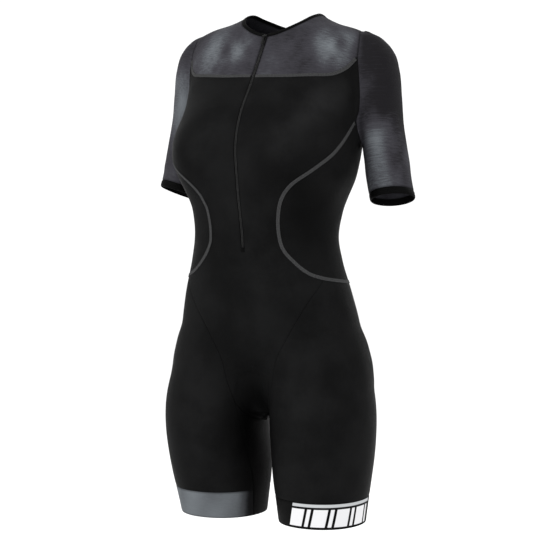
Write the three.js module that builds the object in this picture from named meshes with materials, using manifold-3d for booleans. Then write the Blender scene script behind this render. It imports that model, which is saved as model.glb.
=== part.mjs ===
// Short-sleeved triathlon suit with its front zip closed, worn form, hollow inside.
// Millimetres. +Z is up, the chest faces -Y, and the wearer's left is +X.
// The origin is the middle of the neck hole, level with the side neck points.
import {
  BoxGeometry, BufferGeometry, CylinderGeometry, Float32BufferAttribute, Group, Matrix4, Mesh,
  MeshStandardMaterial,
} from 'three';
import { mergeVertices } from 'three/addons/utils/BufferGeometryUtils.js';
import Module from 'manifold-3d';

// Driving sizes.
const clothThick = 1.5;      // knitted panels
const seamGap = 1.0;         // clear line between two panels' edges
const tapeWide = 5.6;        // flatlock cover over a seam
const tapeThick = 0.9;
const bindingWide = 6;       // neck binding
const bindingThick = 2.2;
const cuffDeep = 12;         // sleeve cuff
const legBandTop = -785;     // height of the seam above the leg bands
const legHem = -829;         // height of the leg hems
const zipSlotHalf = 3;       // half of the width between the cloth edges at the zip
const zipEnd = -386;         // height where the zip stops
const coilHalf = 2.2;        // zip teeth, half width
const zipTapeHalf = 10;      // woven zip tape behind the cloth, half width
const sliderWide = 8;
const sliderLong = 10;
const tabLong = 15;          // pull tab, from its pin to its tip
const pinHigh = 4.1;         // pull tab's pin above the cloth
const pinRadius = 0.6;
const padThick = 4;          // seat pad, held inside the crotch
const shoulderTilt = 0.035;  // the wearer's left shoulder hangs this much lower per mm outward
const tiltFoot = -480;       // the tilt fades out between these two heights
const tiltHead = -240;

// Sections of the general figure that the suit is cut for, from the top down. Each row is
// height, middle across, middle in depth, half width outward, half width inward,
// depth forward, depth back, and how square the section is (2 is an ellipse).
const torsoRows = [
  [40, 0, 4, 48, 48, 48, 46, 2.0],
  [0, 0, 0, 58, 58, 50, 56, 2.0],
  [-12, 0, -2, 76, 76, 52, 62, 2.0],
  [-22, 0, -5, 100, 100, 55, 68, 2.0],
  [-30, 0, -8, 128, 128, 57, 74, 2.1],
  [-40, 0, -12, 149, 149, 60, 80, 2.2],
  [-60, 0, -18, 157, 157, 66, 90, 2.3],
  [-90, 0, -25, 157, 157, 78, 102, 2.4],
  [-130, 0, -33, 153, 153, 96, 114, 2.4],
  [-170, 0, -42, 150, 150, 116, 120, 2.3],
  [-205, 0, -48, 147, 147, 125, 120, 2.3],
  [-230, 0, -53, 144, 144, 124, 116, 2.3],
  [-250, 0, -57, 141, 141, 119, 112, 2.3],
  [-273, 0, -61, 138, 138, 112, 106, 2.3],
  [-300, 0, -66, 132, 132, 103, 98, 2.25],
  [-330, 0, -70, 126, 126, 93, 88, 2.2],
  [-366, 0, -74, 123, 123, 82, 82, 2.15],
  [-405, 0, -74, 129, 129, 78, 88, 2.15],
  [-457, 0, -71, 142, 142, 82, 100, 2.2],
  [-500, 0, -68, 152, 152, 78, 112, 2.2],
  [-540, 0, -66, 158, 158, 72, 118, 2.2],
  [-580, 0, -64, 160, 160, 60, 116, 2.2],
  [-610, 0, -62, 146, 146, 50, 104, 2.2],
  [-635, 0, -58, 104, 104, 34, 76, 2.1],
  [-650, 0, -54, 48, 48, 16, 40, 2.0],
  [-656, 0, -52, 10, 10, 5, 10, 2.0],
];
const armRows = [
  [-36, 148, -6, 4, 4, 6, 6, 2.0],
  [-42, 150, -6, 16, 14, 20, 22, 2.0],
  [-52, 152, -6, 27, 24, 32, 32, 2.0],
  [-68, 155, -6, 37, 35, 40, 40, 2.0],
  [-95, 158, -7, 43, 40, 44, 44, 2.0],
  [-140, 161, -8, 45, 34, 45, 45, 2.0],
  [-184, 168, -9, 42, 28, 43, 43, 2.0],
  [-205, 172, -10, 42, 27, 42, 42, 2.0],
  [-225, 177, -11, 41, 29, 41, 41, 2.0],
  [-245, 182, -12, 40, 31, 40, 40, 2.0],
  [-265, 187, -13, 38, 34, 38, 38, 2.0],
  [-300, 196, -15, 37, 36, 37, 37, 2.0],
  [-340, 206, -17, 36, 35, 36, 36, 2.0],
];
const legRows = [
  [-505, 84, -64, 30, 30, 24, 40, 2.0],
  [-530, 86, -64, 58, 50, 50, 76, 2.0],
  [-560, 88, -64, 72, 66, 70, 92, 2.0],
  [-600, 91, -64, 82, 74, 82, 97, 2.1],
  [-645, 94, -64, 87, 79, 89, 95, 2.1],
  [-680, 95, -63, 87, 80, 90, 90, 2.1],
  [-720, 95, -61, 84, 79, 87, 85, 2.1],
  [-760, 94, -58, 79, 77, 83, 79, 2.1],
  [-800, 93, -54, 73, 73, 77, 73, 2.1],
  [-832, 92, -51, 69, 70, 73, 69, 2.1],
  [-870, 92, -49, 66, 67, 70, 67, 2.1],
];
const bust = { middle: [80, -96, -238], radius: [60, 84, 60] };

// Seams on the wearer's left, as points that a smooth curve runs through; the right is mirrored.
const neckEdge = [
  [3, -73, -42], [16, -71, -39], [32, -65, -32.5], [50, -51, -22], [60, -25, -9], [62, 2, -1],
  [57, 30, -6], [42, 49, -14], [22, 60, -20], [3, 63, -22],
];
const yokeFrontSeam = [
  [3, -118, -114], [55, -114, -114], [100, -101, -112], [126, -88, -108.5], [142, -70, -97],
  [152, -53, -79],
];
const yokeBackSeam = [[3, 82, -114], [60, 78, -113], [110, 62, -108], [138, 40, -96]];
const armholeFrontUpper = [[134, 2, -33], [140, -17, -36], [148, -36, -47], [152, -53, -79]];
const armholeFrontLower = [[152, -53, -79], [155, -54, -110], [156, -53, -145], [153, -55, -180]];
const armholeUnder = [
  [153, -55, -180], [150, -41, -205], [148, -24, -220], [147, -9, -226], [146, 4, -222],
  [143, 12, -206], [141, 16, -188],
];
const armholeBackLower = [[141, 16, -188], [139, 24, -158], [138, 32, -125], [138, 40, -96]];
const armholeBackUpper = [[138, 40, -96], [136, 38, -66], [134, 24, -42], [134, 2, -33]];
const sideFrontSeam = [
  [153, -55, -180], [149, -88, -206], [142, -121, -232], [125, -153, -258], [94, -164, -281],
  [70, -157, -308], [61, -150, -346], [65, -144, -383], [84, -136, -408], [104, -126, -425],
  [122, -110, -433],
];
const sideBackSeam = [
  [141, 16, -188], [137, 30, -212], [125, 42, -240], [108, 46, -270], [92, 38, -303],
  [85, 20, -340], [86, 8, -375], [94, 10, -402], [106, 12, -421], [118, 12, -433],
];
const sideFootSeam = [
  [122, -110, -433], [134, -92, -436], [141, -62, -438], [137, -28, -438], [118, 12, -433],
];
const hipFrontSeam = [
  [122, -110, -433], [116, -121, -449], [101, -132, -475], [70, -136, -526], [50, -136, -563],
  [40, -133, -602], [31, -122, -636],
];
const hipBackSeam = [
  [118, 12, -433], [110, 28, -460], [92, 44, -495], [70, 52, -535], [54, 48, -575], [44, 36, -608],
  [34, 18, -636],
];
const crotchFrontSeam = [[31, -122, -636], [24, -104, -655], [17, -84, -664], [14, -62, -667]];
const crotchBackSeam = [[14, -62, -667], [16, -40, -665], [24, -12, -655], [34, 18, -636]];
const insideLegFrontSeam = [
  [31, -122, -636], [26, -114, -668], [22, -102, -710], [21, -88, -750], [23, -78, legBandTop],
];
const insideLegBackSeam = [
  [34, 18, -636], [28, 6, -668], [22, -10, -710], [22, -18, -750], [24, -22, legBandTop],
];
const frontMiddle = [
  [0, -73, -45], [0, -103, -90], [0, -118, -114], [0, -152, -175], [0, -170, -225], [0, -172, -285],
  [0, -160, -342], [0, -154, -386], [0, -150, -440], [0, -146, -500], [0, -134, -560],
  [0, -120, -600], [0, -104, -634], [0, -82, -652], [0, -62, -656],
];
const backMiddle = [
  [0, 70, -30], [0, 77, -70], [0, 82, -114], [0, 80, -170], [0, 68, -230], [0, 46, -290],
  [0, 14, -350], [0, 12, -400], [0, 30, -460], [0, 48, -530], [0, 44, -580], [0, 24, -620],
  [0, -20, -650], [0, -62, -656],
];

const add = (a, b, k = 1) => [a[0] + b[0] * k, a[1] + b[1] * k, a[2] + b[2] * k];
const minus = (a, b) => [a[0] - b[0], a[1] - b[1], a[2] - b[2]];
const dot = (a, b) => a[0] * b[0] + a[1] * b[1] + a[2] * b[2];
const cross = (a, b) => [a[1] * b[2] - a[2] * b[1], a[2] * b[0] - a[0] * b[2], a[0] * b[1] - a[1] * b[0]];
const size = (a) => Math.hypot(a[0], a[1], a[2]);
const unit = (a) => { const s = size(a) || 1; return [a[0] / s, a[1] / s, a[2] / s]; };
const between = (a, b, t) => add(a, minus(b, a), t);
const mirror = (a) => [-a[0], a[1], a[2]];
const range = (n) => Array.from({ length: n }, (_, i) => i);

// A smooth curve through a table's rows, read at one height.
function sectionAt(rows, height) {
  const last = rows.length - 1;
  const z = Math.min(rows[0][0], Math.max(rows[last][0], height));
  let i = 0;
  while (i < last - 1 && z < rows[i + 1][0]) i += 1;
  const step = (k) => rows[k + 1][0] - rows[k][0];
  const slope = (k, c) => (rows[k + 1][c] - rows[k][c]) / step(k);
  const lean = (k, c) => {
    if (k === 0) return slope(0, c);
    if (k === last) return slope(last - 1, c);
    return (slope(k - 1, c) * step(k) + slope(k, c) * step(k - 1)) / (step(k) + step(k - 1));
  };
  const h = step(i);
  const t = (z - rows[i][0]) / h;
  const at = (c) => (2 * t ** 3 - 3 * t ** 2 + 1) * rows[i][c] + (t ** 3 - 2 * t ** 2 + t) * h * lean(i, c)
    + (-2 * t ** 3 + 3 * t ** 2) * rows[i + 1][c] + (t ** 3 - t ** 2) * h * lean(i + 1, c);
  return [1, 2, 3, 4, 5, 6, 7].map(at);
}

// About how far a point is outside a tube of those sections; negative inside.
function outsideTube(rows, x, y, z) {
  const [middleX, middleY, outward, inward, forward, back, square] = sectionAt(rows, z);
  const across = x - middleX;
  const deep = y - middleY;
  const reach = (Math.abs(across / (across > 0 ? outward : inward)) ** square
    + Math.abs(deep / (deep > 0 ? back : forward)) ** square) ** (1 / square) + 1e-9;
  const past = Math.max(z - rows[0][0], 0) + Math.max(rows[rows.length - 1][0] - z, 0);
  return Math.hypot(across, deep) * (1 - 1 / reach) + past;
}

function outsideBust(x, y, z) {
  const part = [x, y, z].map((v, i) => (v - bust.middle[i]) / bust.radius[i]);
  return Math.min(...bust.radius) * (size(part) - 1);
}

const blend = (a, b, width) => {
  const h = Math.max(width - Math.abs(a - b), 0) / width;
  return Math.min(a, b) - h * h * width / 4;
};

// The figure's surface is where this is zero. Below the underarm the sleeve and the chest are
// apart, and so are the two legs below the crotch: area says which of them the cloth follows.
function outside(point, area) {
  const [px, y, z] = point;
  const x = area === 'leg' || area === 'sleeve' ? px : Math.abs(px);
  const underarm = 0.8 * Math.max(0, -214 - z);
  const underCrotch = area === 'leg' ? 0.8 * Math.max(0, -636 - z) : 0;
  if (area === 'cuff') return outsideTube(armRows, px, y, z);
  let torso = outsideTube(torsoRows, x, y, z);
  torso = blend(torso, outsideBust(x, y, z), 45);
  if (area === 'sleeve') torso += underarm;
  if (z > -480) {
    const arm = outsideTube(armRows, x, y, z) + (area === 'sleeve' ? 0 : underarm);
    torso = blend(torso, arm, 12);
    if (area === 'armhole') torso += underarm;
  }
  if (z < -440) {
    const ownLeg = outsideTube(legRows, x, y, z);
    const otherLeg = outsideTube(legRows, -x, y, z) + underCrotch;
    torso = blend(torso + underCrotch, blend(ownLeg, otherLeg, 26), 40);
  }
  return torso;
}

function outward(point, area) {
  const e = 0.4;
  const way = (i) => {
    const a = [...point];
    const b = [...point];
    a[i] += e;
    b[i] -= e;
    return outside(a, area) - outside(b, area);
  };
  return [way(0) / (2 * e), way(1) / (2 * e), way(2) / (2 * e)];
}

// Moves a guess along the steepest way until it lies on the figure's surface.
function settle(guess, area) {
  let point = [...guess];
  for (let k = 0; k < 14; k += 1) {
    const way = outward(point, area);
    const square = way[0] ** 2 + way[1] ** 2 + way[2] ** 2 + 1e-6;
    const move = -outside(point, area) / square;
    const held = Math.max(-12 / Math.sqrt(square), Math.min(12 / Math.sqrt(square), move));
    point = add(point, way, held);
  }
  return point;
}

// Goes level from the torso's middle through a guess and stops at the surface.
function reachOut(guess, area) {
  const middle = [0, sectionAt(torsoRows, guess[2])[1], guess[2]];
  const way = unit(minus(guess, middle));
  let near = 10;
  while (near < 300 && outside(add(middle, way, near + 6), area) < 0) near += 6;
  let far = near + 6;
  for (let k = 0; k < 16; k += 1) {
    const half = (near + far) / 2;
    if (outside(add(middle, way, half), area) < 0) near = half; else far = half;
  }
  return add(middle, way, (near + far) / 2);
}

const onSurface = (p, area) => ({ at: p, out: unit(outward(p, area)) });
const flip = (s) => ({ at: mirror(s.at), out: mirror(s.out) });

// A smooth curve through the points, cut in lengths and laid on the surface. The lengths are
// equal, or grow along it where the ease is over 1.
function seam(points, pieces, area, ease = 1) {
  const n = points.length;
  const fine = [];
  for (let i = 0; i < n - 1; i += 1) {
    const before = points[Math.max(i - 1, 0)];
    const after = points[Math.min(i + 2, n - 1)];
    for (let k = 0; k < 12; k += 1) {
      const t = k / 12;
      fine.push([0, 1, 2].map((c) => 0.5 * (2 * points[i][c] + (points[i + 1][c] - before[c]) * t
        + (2 * before[c] - 5 * points[i][c] + 4 * points[i + 1][c] - after[c]) * t * t
        + (3 * points[i][c] - before[c] - 3 * points[i + 1][c] + after[c]) * t ** 3)));
    }
  }
  fine.push(points[n - 1]);
  const along = [0];
  for (let i = 1; i < fine.length; i += 1) along.push(along[i - 1] + size(minus(fine[i], fine[i - 1])));
  const whole = along[along.length - 1];
  return range(pieces + 1).map((j) => {
    const want = whole * (j / pieces) ** ease;
    let i = 1;
    while (i < fine.length - 1 && along[i] < want) i += 1;
    const p = between(fine[i - 1], fine[i], (want - along[i - 1]) / (along[i] - along[i - 1]));
    return onSurface(settle(p, area), area);
  });
}

const join = (...parts) => parts.reduce((all, part) => [...all.slice(0, -1), ...part]);
const turned = (line) => [...line].reverse();

// A panel between four seams: rows run from the top seam to the foot seam, and each row from
// the start seam to the end seam. A higher hold keeps the top and foot seams' shapes to them.
function panel(top, foot, start, end, area, lay, hold = 1) {
  const rows = start.length - 1;
  const columns = top.length - 1;
  const edges = (j, i) => {
    if (j === 0) return top[i];
    if (j === rows) return foot[i];
    if (i === 0) return start[j];
    return i === columns ? end[j] : null;
  };
  let guesses = range(rows + 1).map((j) => range(columns + 1).map((i) => {
    if (edges(j, i)) return edges(j, i).at;
    const u = i / columns;
    const v = j / rows;
    const bow = (edge) => minus(edge[i].at, between(edge[0].at, edge[columns].at, u));
    const level = between(start[j].at, end[j].at, u);
    return add(add(level, bow(top), (1 - v) ** hold), bow(foot), v ** hold);
  }));
  // Evens the squares out.
  for (let k = 0; k < 10; k += 1) {
    guesses = guesses.map((row, j) => row.map((g, i) => {
      if (edges(j, i)) return g;
      const near = [guesses[j - 1][i], guesses[j + 1][i], row[i - 1], row[i + 1]];
      return between(g, near.reduce((sum, q) => add(sum, q, 0.25), [0, 0, 0]), 0.6);
    }));
  }
  return guesses.map((row, j) => row.map((g, i) => edges(j, i) ?? onSurface(lay(g, area), area)));
}

const layOnTorso = (guess, area) => (guess[2] > -585 ? reachOut(guess, area) : settle(guess, area));

// The mirrored half first, then this half, as one row from the wearer's right to the left.
const wholeRow = (half) => [...turned(half).map(flip), ...half];
const mirrorGrid = (grid) => grid.map((row) => turned(row).map(flip));

function tilted(p) {
  const t = Math.min(1, Math.max(0, (p[2] - tiltFoot) / (tiltHead - tiltFoot)));
  return [p[0], p[1], p[2] - shoulderTilt * p[0] * t * t * (3 - 2 * t)];
}

const colours = {
  black: 0x1c1c1e, heather: 0x48474e, flatlock: 0x6a6a6e, band: 0x5c6066, trim: 0x121214,
  pad: 0x2a2a2c, metal: 0x18181a, print: 0xd8d8da,
};
const model = new Group();
model.name = 'triathlon_suit';

function put(name, colour, corners, faces) {
  const geometry = new BufferGeometry();
  geometry.setAttribute('position', new Float32BufferAttribute(corners.flat(), 3));
  geometry.setIndex(faces.flat());
  geometry.computeVertexNormals();
  const mesh = new Mesh(geometry, new MeshStandardMaterial({ color: colours[colour] }));
  mesh.name = name;
  model.add(mesh);
}

// One closed solid from a grid of surface points. The cloth lies between the heights low and
// high above the surface. ring joins the last column to the first, pull draws an edge in by
// half of the seam gap, and keep says which squares of the grid are cloth.
function cloth(name, colour, grid, options = {}) {
  const { low = -clothThick, high = 0, ring = false, keep = () => true, pull = 'tfse' } = options;
  const rows = grid.length;
  const columns = grid[0].length;
  const edge = seamGap / 2;
  const drawn = grid.map((row, j) => row.map((s, i) => {
    let p = s.at;
    // Square to the edge, along the cloth, toward the panel's inside.
    const draw = (before, after, inside) => {
      const way = unit(cross(minus(after.at, before.at), s.out));
      const side = dot(way, minus(inside.at, s.at)) > 0 ? 1 : -1;
      p = add(p, way, side * edge);
    };
    const left = row[ring ? (i + columns - 1) % columns : Math.max(i - 1, 0)];
    const right = row[ring ? (i + 1) % columns : Math.min(i + 1, columns - 1)];
    const above = grid[Math.max(j - 1, 0)][i];
    const below = grid[Math.min(j + 1, rows - 1)][i];
    if (j === 0 && pull.includes('t')) draw(left, right, grid[1][i]);
    if (j === rows - 1 && pull.includes('f')) draw(left, right, grid[rows - 2][i]);
    if (!ring && i === 0 && pull.includes('s')) draw(above, below, row[1]);
    if (!ring && i === columns - 1 && pull.includes('e')) draw(above, below, row[columns - 2]);
    return { at: p, out: s.out };
  }));
  const cellColumns = ring ? columns : columns - 1;
  const kept = (j, i) => {
    if (j < 0 || j >= rows - 1) return false;
    if (!ring && (i < 0 || i >= cellColumns)) return false;
    return keep(j, (i + cellColumns) % cellColumns);
  };
  const corners = [];
  const place = new Map();
  const corner = (j, i, level) => {
    const k = (j * columns + (i % columns)) * 2 + level;
    if (!place.has(k)) {
      const s = drawn[j][i % columns];
      place.set(k, corners.length);
      corners.push(tilted(add(s.at, s.out, level ? high : low)));
    }
    return place.get(k);
  };
  const faces = [];
  const wall = (a, b) => {
    faces.push([corner(...a, 0), corner(...b, 0), corner(...b, 1)]);
    faces.push([corner(...a, 0), corner(...b, 1), corner(...a, 1)]);
  };
  for (let j = 0; j < rows - 1; j += 1) {
    for (let i = 0; i < cellColumns; i += 1) {
      if (kept(j, i)) {
        const square = [[j, i], [j + 1, i], [j + 1, i + 1], [j, i + 1]];
        const [a, b, c, d] = square.map((q) => corner(...q, 1));
        const [e, f, g, h] = square.map((q) => corner(...q, 0));
        faces.push([a, b, c], [a, c, d], [e, g, f], [e, h, g]);
        if (!kept(j, i - 1)) wall(square[0], square[1]);
        if (!kept(j + 1, i)) wall(square[1], square[2]);
        if (!kept(j, i + 1)) wall(square[2], square[3]);
        if (!kept(j - 1, i)) wall(square[3], square[0]);
      }
    }
  }
  put(name, colour, corners, faces);
}

// A flatlock cover along a seam, made from the first points of the panels on its two sides.
function seamCover(line, sideA, sideB, trimStart, trimEnd) {
  const beside = (s, other) => {
    const step = minus(other.at, s.at);
    return { at: add(s.at, step, Math.min(0.8, tapeWide / 2 / size(step))), out: s.out };
  };
  const rows = line.map((s, i) => [beside(s, sideB[i]), s, beside(s, sideA[i])]);
  const shorten = (from, to, length) => from.map((s, k) => {
    const step = minus(to[k].at, s.at);
    return { at: add(s.at, step, Math.min(0.7, length / size(step))), out: s.out };
  });
  const last = rows.length - 1;
  rows[0] = shorten(rows[0], rows[1], trimStart);
  rows[last] = shorten(rows[last], rows[last - 1], trimEnd);
  return rows;
}

// Seams of the wearer's left half.
const skin = 'all';
const armhole = 'armhole';
const neck = seam(neckEdge, 22, skin);
const yokeFront = seam(yokeFrontSeam, 6, skin);
const frontUpper = seam(armholeFrontUpper, 5, armhole);
const backUpper = seam(armholeBackUpper, 5, armhole);
const frontLower = seam(armholeFrontLower, 4, armhole);
const backLower = seam(armholeBackLower, 4, armhole);
const under = seam(armholeUnder, 6, armhole);
const yokeBack = seam(yokeBackSeam, 6, skin);
const sideFront = seam(sideFrontSeam, 12, skin);
const sideBack = seam(sideBackSeam, 12, skin);
const sideFoot = seam(sideFootSeam, 6, skin);
const hipFront = seam(hipFrontSeam, 8, skin);
const hipBack = seam(hipBackSeam, 8, skin);
const crotchFront = seam(crotchFrontSeam, 4, skin);
const crotchBack = seam(crotchBackSeam, 4, skin);
const insideFront = seam(insideLegFrontSeam, 8, 'leg');
const insideBack = seam(insideLegBackSeam, 8, 'leg');

// Where seams meet they share one point.
function meet(...ends) {
  const first = ends[0][0][ends[0][1] < 0 ? ends[0][0].length - 1 : 0];
  ends.forEach(([line, end]) => { line[end < 0 ? line.length - 1 : 0] = first; });
}
meet([frontLower, 0], [frontUpper, -1], [yokeFront, -1]);
meet([backUpper, 0], [backLower, -1], [yokeBack, -1]);
meet([frontUpper, 0], [backUpper, -1]);
meet([under, 0], [frontLower, -1], [sideFront, 0]);
meet([backLower, 0], [under, -1], [sideBack, 0]);
meet([sideFoot, 0], [sideFront, -1], [hipFront, 0]);
meet([sideFoot, -1], [sideBack, -1], [hipBack, 0]);
meet([hipFront, -1], [crotchFront, 0], [insideFront, 0]);
meet([hipBack, -1], [crotchBack, -1], [insideBack, 0]);
meet([crotchFront, -1], [crotchBack, 0]);

// Neck binding, and the yoke's neck edge one binding width further out.
const yokeNeck = neck.map((s, i) => {
  const along = unit(minus(neck[Math.min(i + 1, 22)].at, neck[Math.max(i - 1, 0)].at));
  const side = cross(along, s.out);
  const away = side[2] > 0 ? side.map((v) => -v) : side;
  const moved = settle(add(s.at, away, bindingWide), skin);
  return onSurface([i === 0 || i === 22 ? zipSlotHalf : moved[0], moved[1], moved[2]], skin);
});
neck[0].at[0] = zipSlotHalf;
neck[22].at[0] = zipSlotHalf;
const joinWhole = (half) => [...half, ...turned(half).map(flip)];
cloth('neck_binding', 'trim', [joinWhole(neck), joinWhole(yokeNeck)],
  { low: -clothThick - 0.2, high: bindingThick - clothThick - 0.2 });

// Yoke: one piece round the neck, open at the zip.
const yokeEdge = join(yokeFront, turned(frontUpper), turned(backUpper), turned(yokeBack));
const zipLine = (points, pieces, ease) => seam(points.map((p) => [zipSlotHalf, p[1], p[2]]), pieces, skin, ease)
  .map((s) => onSurface([zipSlotHalf, s.at[1], s.at[2]], skin));
const yokeRows = 5;
const yokeZip = zipLine([yokeNeck[0].at, [3, -96, -80], yokeFront[0].at], yokeRows);
const yokeMiddle = zipLine([yokeNeck[22].at, [3, 77, -70], yokeBack[0].at], yokeRows);
yokeZip[0] = yokeNeck[0];
yokeZip[yokeRows] = yokeFront[0];
yokeMiddle[0] = yokeNeck[22];
yokeMiddle[yokeRows] = yokeBack[0];
const yokeHalf = panel(yokeNeck, yokeEdge, yokeZip, yokeMiddle, skin, settle);
cloth('yoke', 'heather', yokeHalf.map(joinWhole));

// Front and back bodies, each from its yoke seam to the seam under the crotch.
const bodyEdge = (upper, side, hip, crotch) => join(upper, side, hip, crotch);
const frontEdge = bodyEdge(frontLower, sideFront, hipFront, crotchFront);
const backEdge = bodyEdge(turned(backLower), sideBack, hipBack, turned(crotchBack));
const bodyRows = frontEdge.length - 1;
const zipRows = 13;
const middleLine = (points, top, foot, stop) => {
  const upto = points.filter((p) => p[2] <= -114);
  const stopAt = upto.findIndex((p) => p[2] <= stop);
  const line = join(zipLine(upto.slice(0, stopAt + 1), zipRows, 1.5), zipLine(upto.slice(stopAt), bodyRows - zipRows));
  line[0] = top;
  line[bodyRows] = foot;
  return line;
};
const crotchMiddle = onSurface([zipSlotHalf, ...settle([zipSlotHalf, -62, -657], skin).slice(1)], skin);
const crossSeam = seam([crotchMiddle.at, crotchFront[4].at], 6, skin);
crossSeam[0] = crotchMiddle;
crossSeam[6] = crotchFront[4];
const frontLine = middleLine(frontMiddle, yokeFront[0], crotchMiddle, zipEnd);
const backLine = middleLine(backMiddle, yokeBack[0], crotchMiddle, -400);
const frontHalf = panel(yokeFront, crossSeam, frontLine, frontEdge, skin, layOnTorso, 4);
const backHalf = panel(yokeBack, crossSeam, backLine, backEdge, skin, layOnTorso, 4);
cloth('front_body', 'black', frontHalf.map(wholeRow), { keep: (j, i) => i !== 6 || j >= zipRows });
cloth('back_body', 'black', backHalf.map((row) => turned(wholeRow(row))));

// Side panels, from the underarm down to the hip.
const sideHalf = panel(under, sideFoot, sideFront, sideBack, skin, layOnTorso);
cloth('side_panel_left', 'black', sideHalf);
cloth('side_panel_right', 'black', mirrorGrid(sideHalf));

// Legs. The main piece goes round the outside, and a long gusset closes the inside.
const legTop = join(turned(hipFront), sideFoot, hipBack);
function legRing(height, turns) {
  return turns.map((degrees) => {
    const [middleX, middleY] = sectionAt(legRows, height);
    const a = degrees * Math.PI / 180;
    let p = [middleX + Math.sin(a) * 78, middleY - Math.cos(a) * 78, height];
    for (let k = 0; k < 30; k += 1) {
      const way = outward(p, 'leg');
      const level = [way[0], way[1], 0];
      p = add(p, level, -0.7 * outside(p, 'leg') / (way[0] ** 2 + way[1] ** 2 + 1e-6));
    }
    return onSurface(p, 'leg');
  });
}
const turnOf = (s) => {
  const [middleX, middleY] = sectionAt(legRows, s.at[2]);
  return Math.atan2(s.at[0] - middleX, -(s.at[1] - middleY)) * 180 / Math.PI;
};
const frontTurn = turnOf(insideFront[8]);
const backTurn = turnOf(insideBack[8]) + 360;
const spread = (from, to, pieces) => range(pieces + 1).map((i) => from + (to - from) * i / pieces);
const outerTurns = [...spread(frontTurn, 31, 8), ...spread(31, 155, 6).slice(1), ...spread(155, backTurn, 8).slice(1)];
const innerTurns = spread(backTurn - 360, frontTurn, 8);
const bandTopRing = legRing(legBandTop, outerTurns);
const insideRing = turned(legRing(legBandTop, innerTurns));
insideFront[8] = bandTopRing[0];
insideBack[8] = bandTopRing[22];
insideRing[0] = insideFront[8];
insideRing[8] = insideBack[8];
const legGrid = panel(legTop, bandTopRing, insideFront, insideBack, 'leg', settle);
const gussetTop = join(crotchFront, crotchBack);
const gussetUpper = panel(gussetTop, insideRing, insideFront, insideBack, 'leg', settle);
const hemRing = legRing(legHem, outerTurns);
const gussetHem = turned(legRing(legHem, innerTurns));
gussetHem[0] = hemRing[0];
gussetHem[8] = hemRing[22];
const halfway = (upper, lower) => upper.map((s, i) => onSurface(settle(between(s.at, lower[i].at, 0.5), 'leg'), 'leg'));
const bandMiddle = halfway(bandTopRing, hemRing);
const gussetMiddle = halfway(insideRing, gussetHem);
gussetMiddle[0] = bandMiddle[0];
gussetMiddle[8] = bandMiddle[22];
const gussetGrid = [...gussetUpper, gussetMiddle, gussetHem].map(turned);
cloth('leg_left', 'black', legGrid);
cloth('leg_right', 'black', mirrorGrid(legGrid));
cloth('leg_gusset_left', 'black', gussetGrid);
cloth('leg_gusset_right', 'black', mirrorGrid(gussetGrid));
const bandGrid = [bandTopRing, bandMiddle, hemRing];
cloth('leg_band_left', 'black', bandGrid);
cloth('leg_band_right', 'band', mirrorGrid(bandGrid));

// Sleeves and cuffs. Columns start at the shoulder top and go round by the front.
const cuffMiddle = [202, -16, -303];
function cuffRing(lift) {
  const turns = [
    ...spread(0, -62, 5), ...spread(-62, -122, 4).slice(1), ...spread(-122, -238, 6).slice(1),
    ...spread(-238, -298, 4).slice(1), ...spread(-298, -360, 5).slice(1, -1),
  ];
  return turns.map((degrees) => {
    const a = degrees * Math.PI / 180;
    let height = cuffMiddle[2] + lift;
    let p = [0, 0, 0];
    for (let k = 0; k < 5; k += 1) {
      const [middleX, middleY, out, inn, forward, back] = sectionAt(armRows, height);
      const [c, s] = [Math.cos(a), Math.sin(a)];
      p = [middleX + c * (c > 0 ? out : inn), middleY + s * (s > 0 ? back : forward), height];
      height = cuffMiddle[2] + lift + 0.228 * (p[0] - cuffMiddle[0]) - 0.24 * (p[1] - cuffMiddle[1]);
    }
    return onSurface(settle(p, 'cuff'), 'cuff');
  });
}
const armholeRing = join(frontUpper, frontLower, under, backLower, backUpper).slice(0, -1);
const cuffTop = cuffRing(cuffDeep);
const cuffHem = cuffRing(0);
const sleeveRows = 11;
const sleeveGrid = range(sleeveRows + 1).map((j) => turned(armholeRing.map((s, i) => {
  if (j === 0) return s;
  if (j === sleeveRows) return cuffTop[i];
  const t = j / sleeveRows;
  const round = [cuffTop[i].out[0], cuffTop[i].out[1], 0];
  const guess = add(between(s.at, cuffTop[i].at, t), round, 34 * 4 * t * (1 - t) * (round[0] > 0 ? round[0] : 0));
  return onSurface(settle(guess, 'sleeve'), 'sleeve');
})));
cloth('sleeve_left', 'heather', sleeveGrid, { ring: true });
cloth('sleeve_right', 'heather', mirrorGrid(sleeveGrid), { ring: true });
const cuffGrid = [turned(cuffTop), turned(cuffHem)];
cloth('cuff_left', 'trim', cuffGrid, { ring: true, low: -clothThick - 0.2, high: 0.4 });
cloth('cuff_right', 'trim', mirrorGrid(cuffGrid), { ring: true, low: -clothThick - 0.2, high: 0.4 });

// Flatlock covers over the yoke's front seam and round each side panel.
const coverPlace = { low: 0.8, high: 0.8 + tapeThick, pull: '' };
const yokeCover = seamCover(yokeFront, yokeFront.map((_, i) => yokeHalf[yokeRows - 1][i]),
  frontHalf[1], 1, 5);
cloth('yoke_cover_left', 'flatlock', yokeCover, coverPlace);
cloth('yoke_cover_right', 'flatlock', mirrorGrid(yokeCover), coverPlace);
const sideLine = join(sideFront, sideFoot, turned(sideBack));
const insideSide = [
  ...range(12).map((j) => sideHalf[j][1]), ...range(7).map((i) => sideHalf[11][i]),
  ...range(12).map((j) => sideHalf[11 - j][5]),
];
const outsideSide = [
  ...range(12).map((j) => frontHalf[j + 4][5]), ...range(7).map((i) => legGrid[1][8 + i]),
  ...range(12).map((j) => backHalf[15 - j][5]),
];
const sideCover = seamCover(sideLine, insideSide, outsideSide, 7, 7);
cloth('side_cover_left', 'flatlock', sideCover, coverPlace);
cloth('side_cover_right', 'flatlock', mirrorGrid(sideCover), coverPlace);

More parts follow.
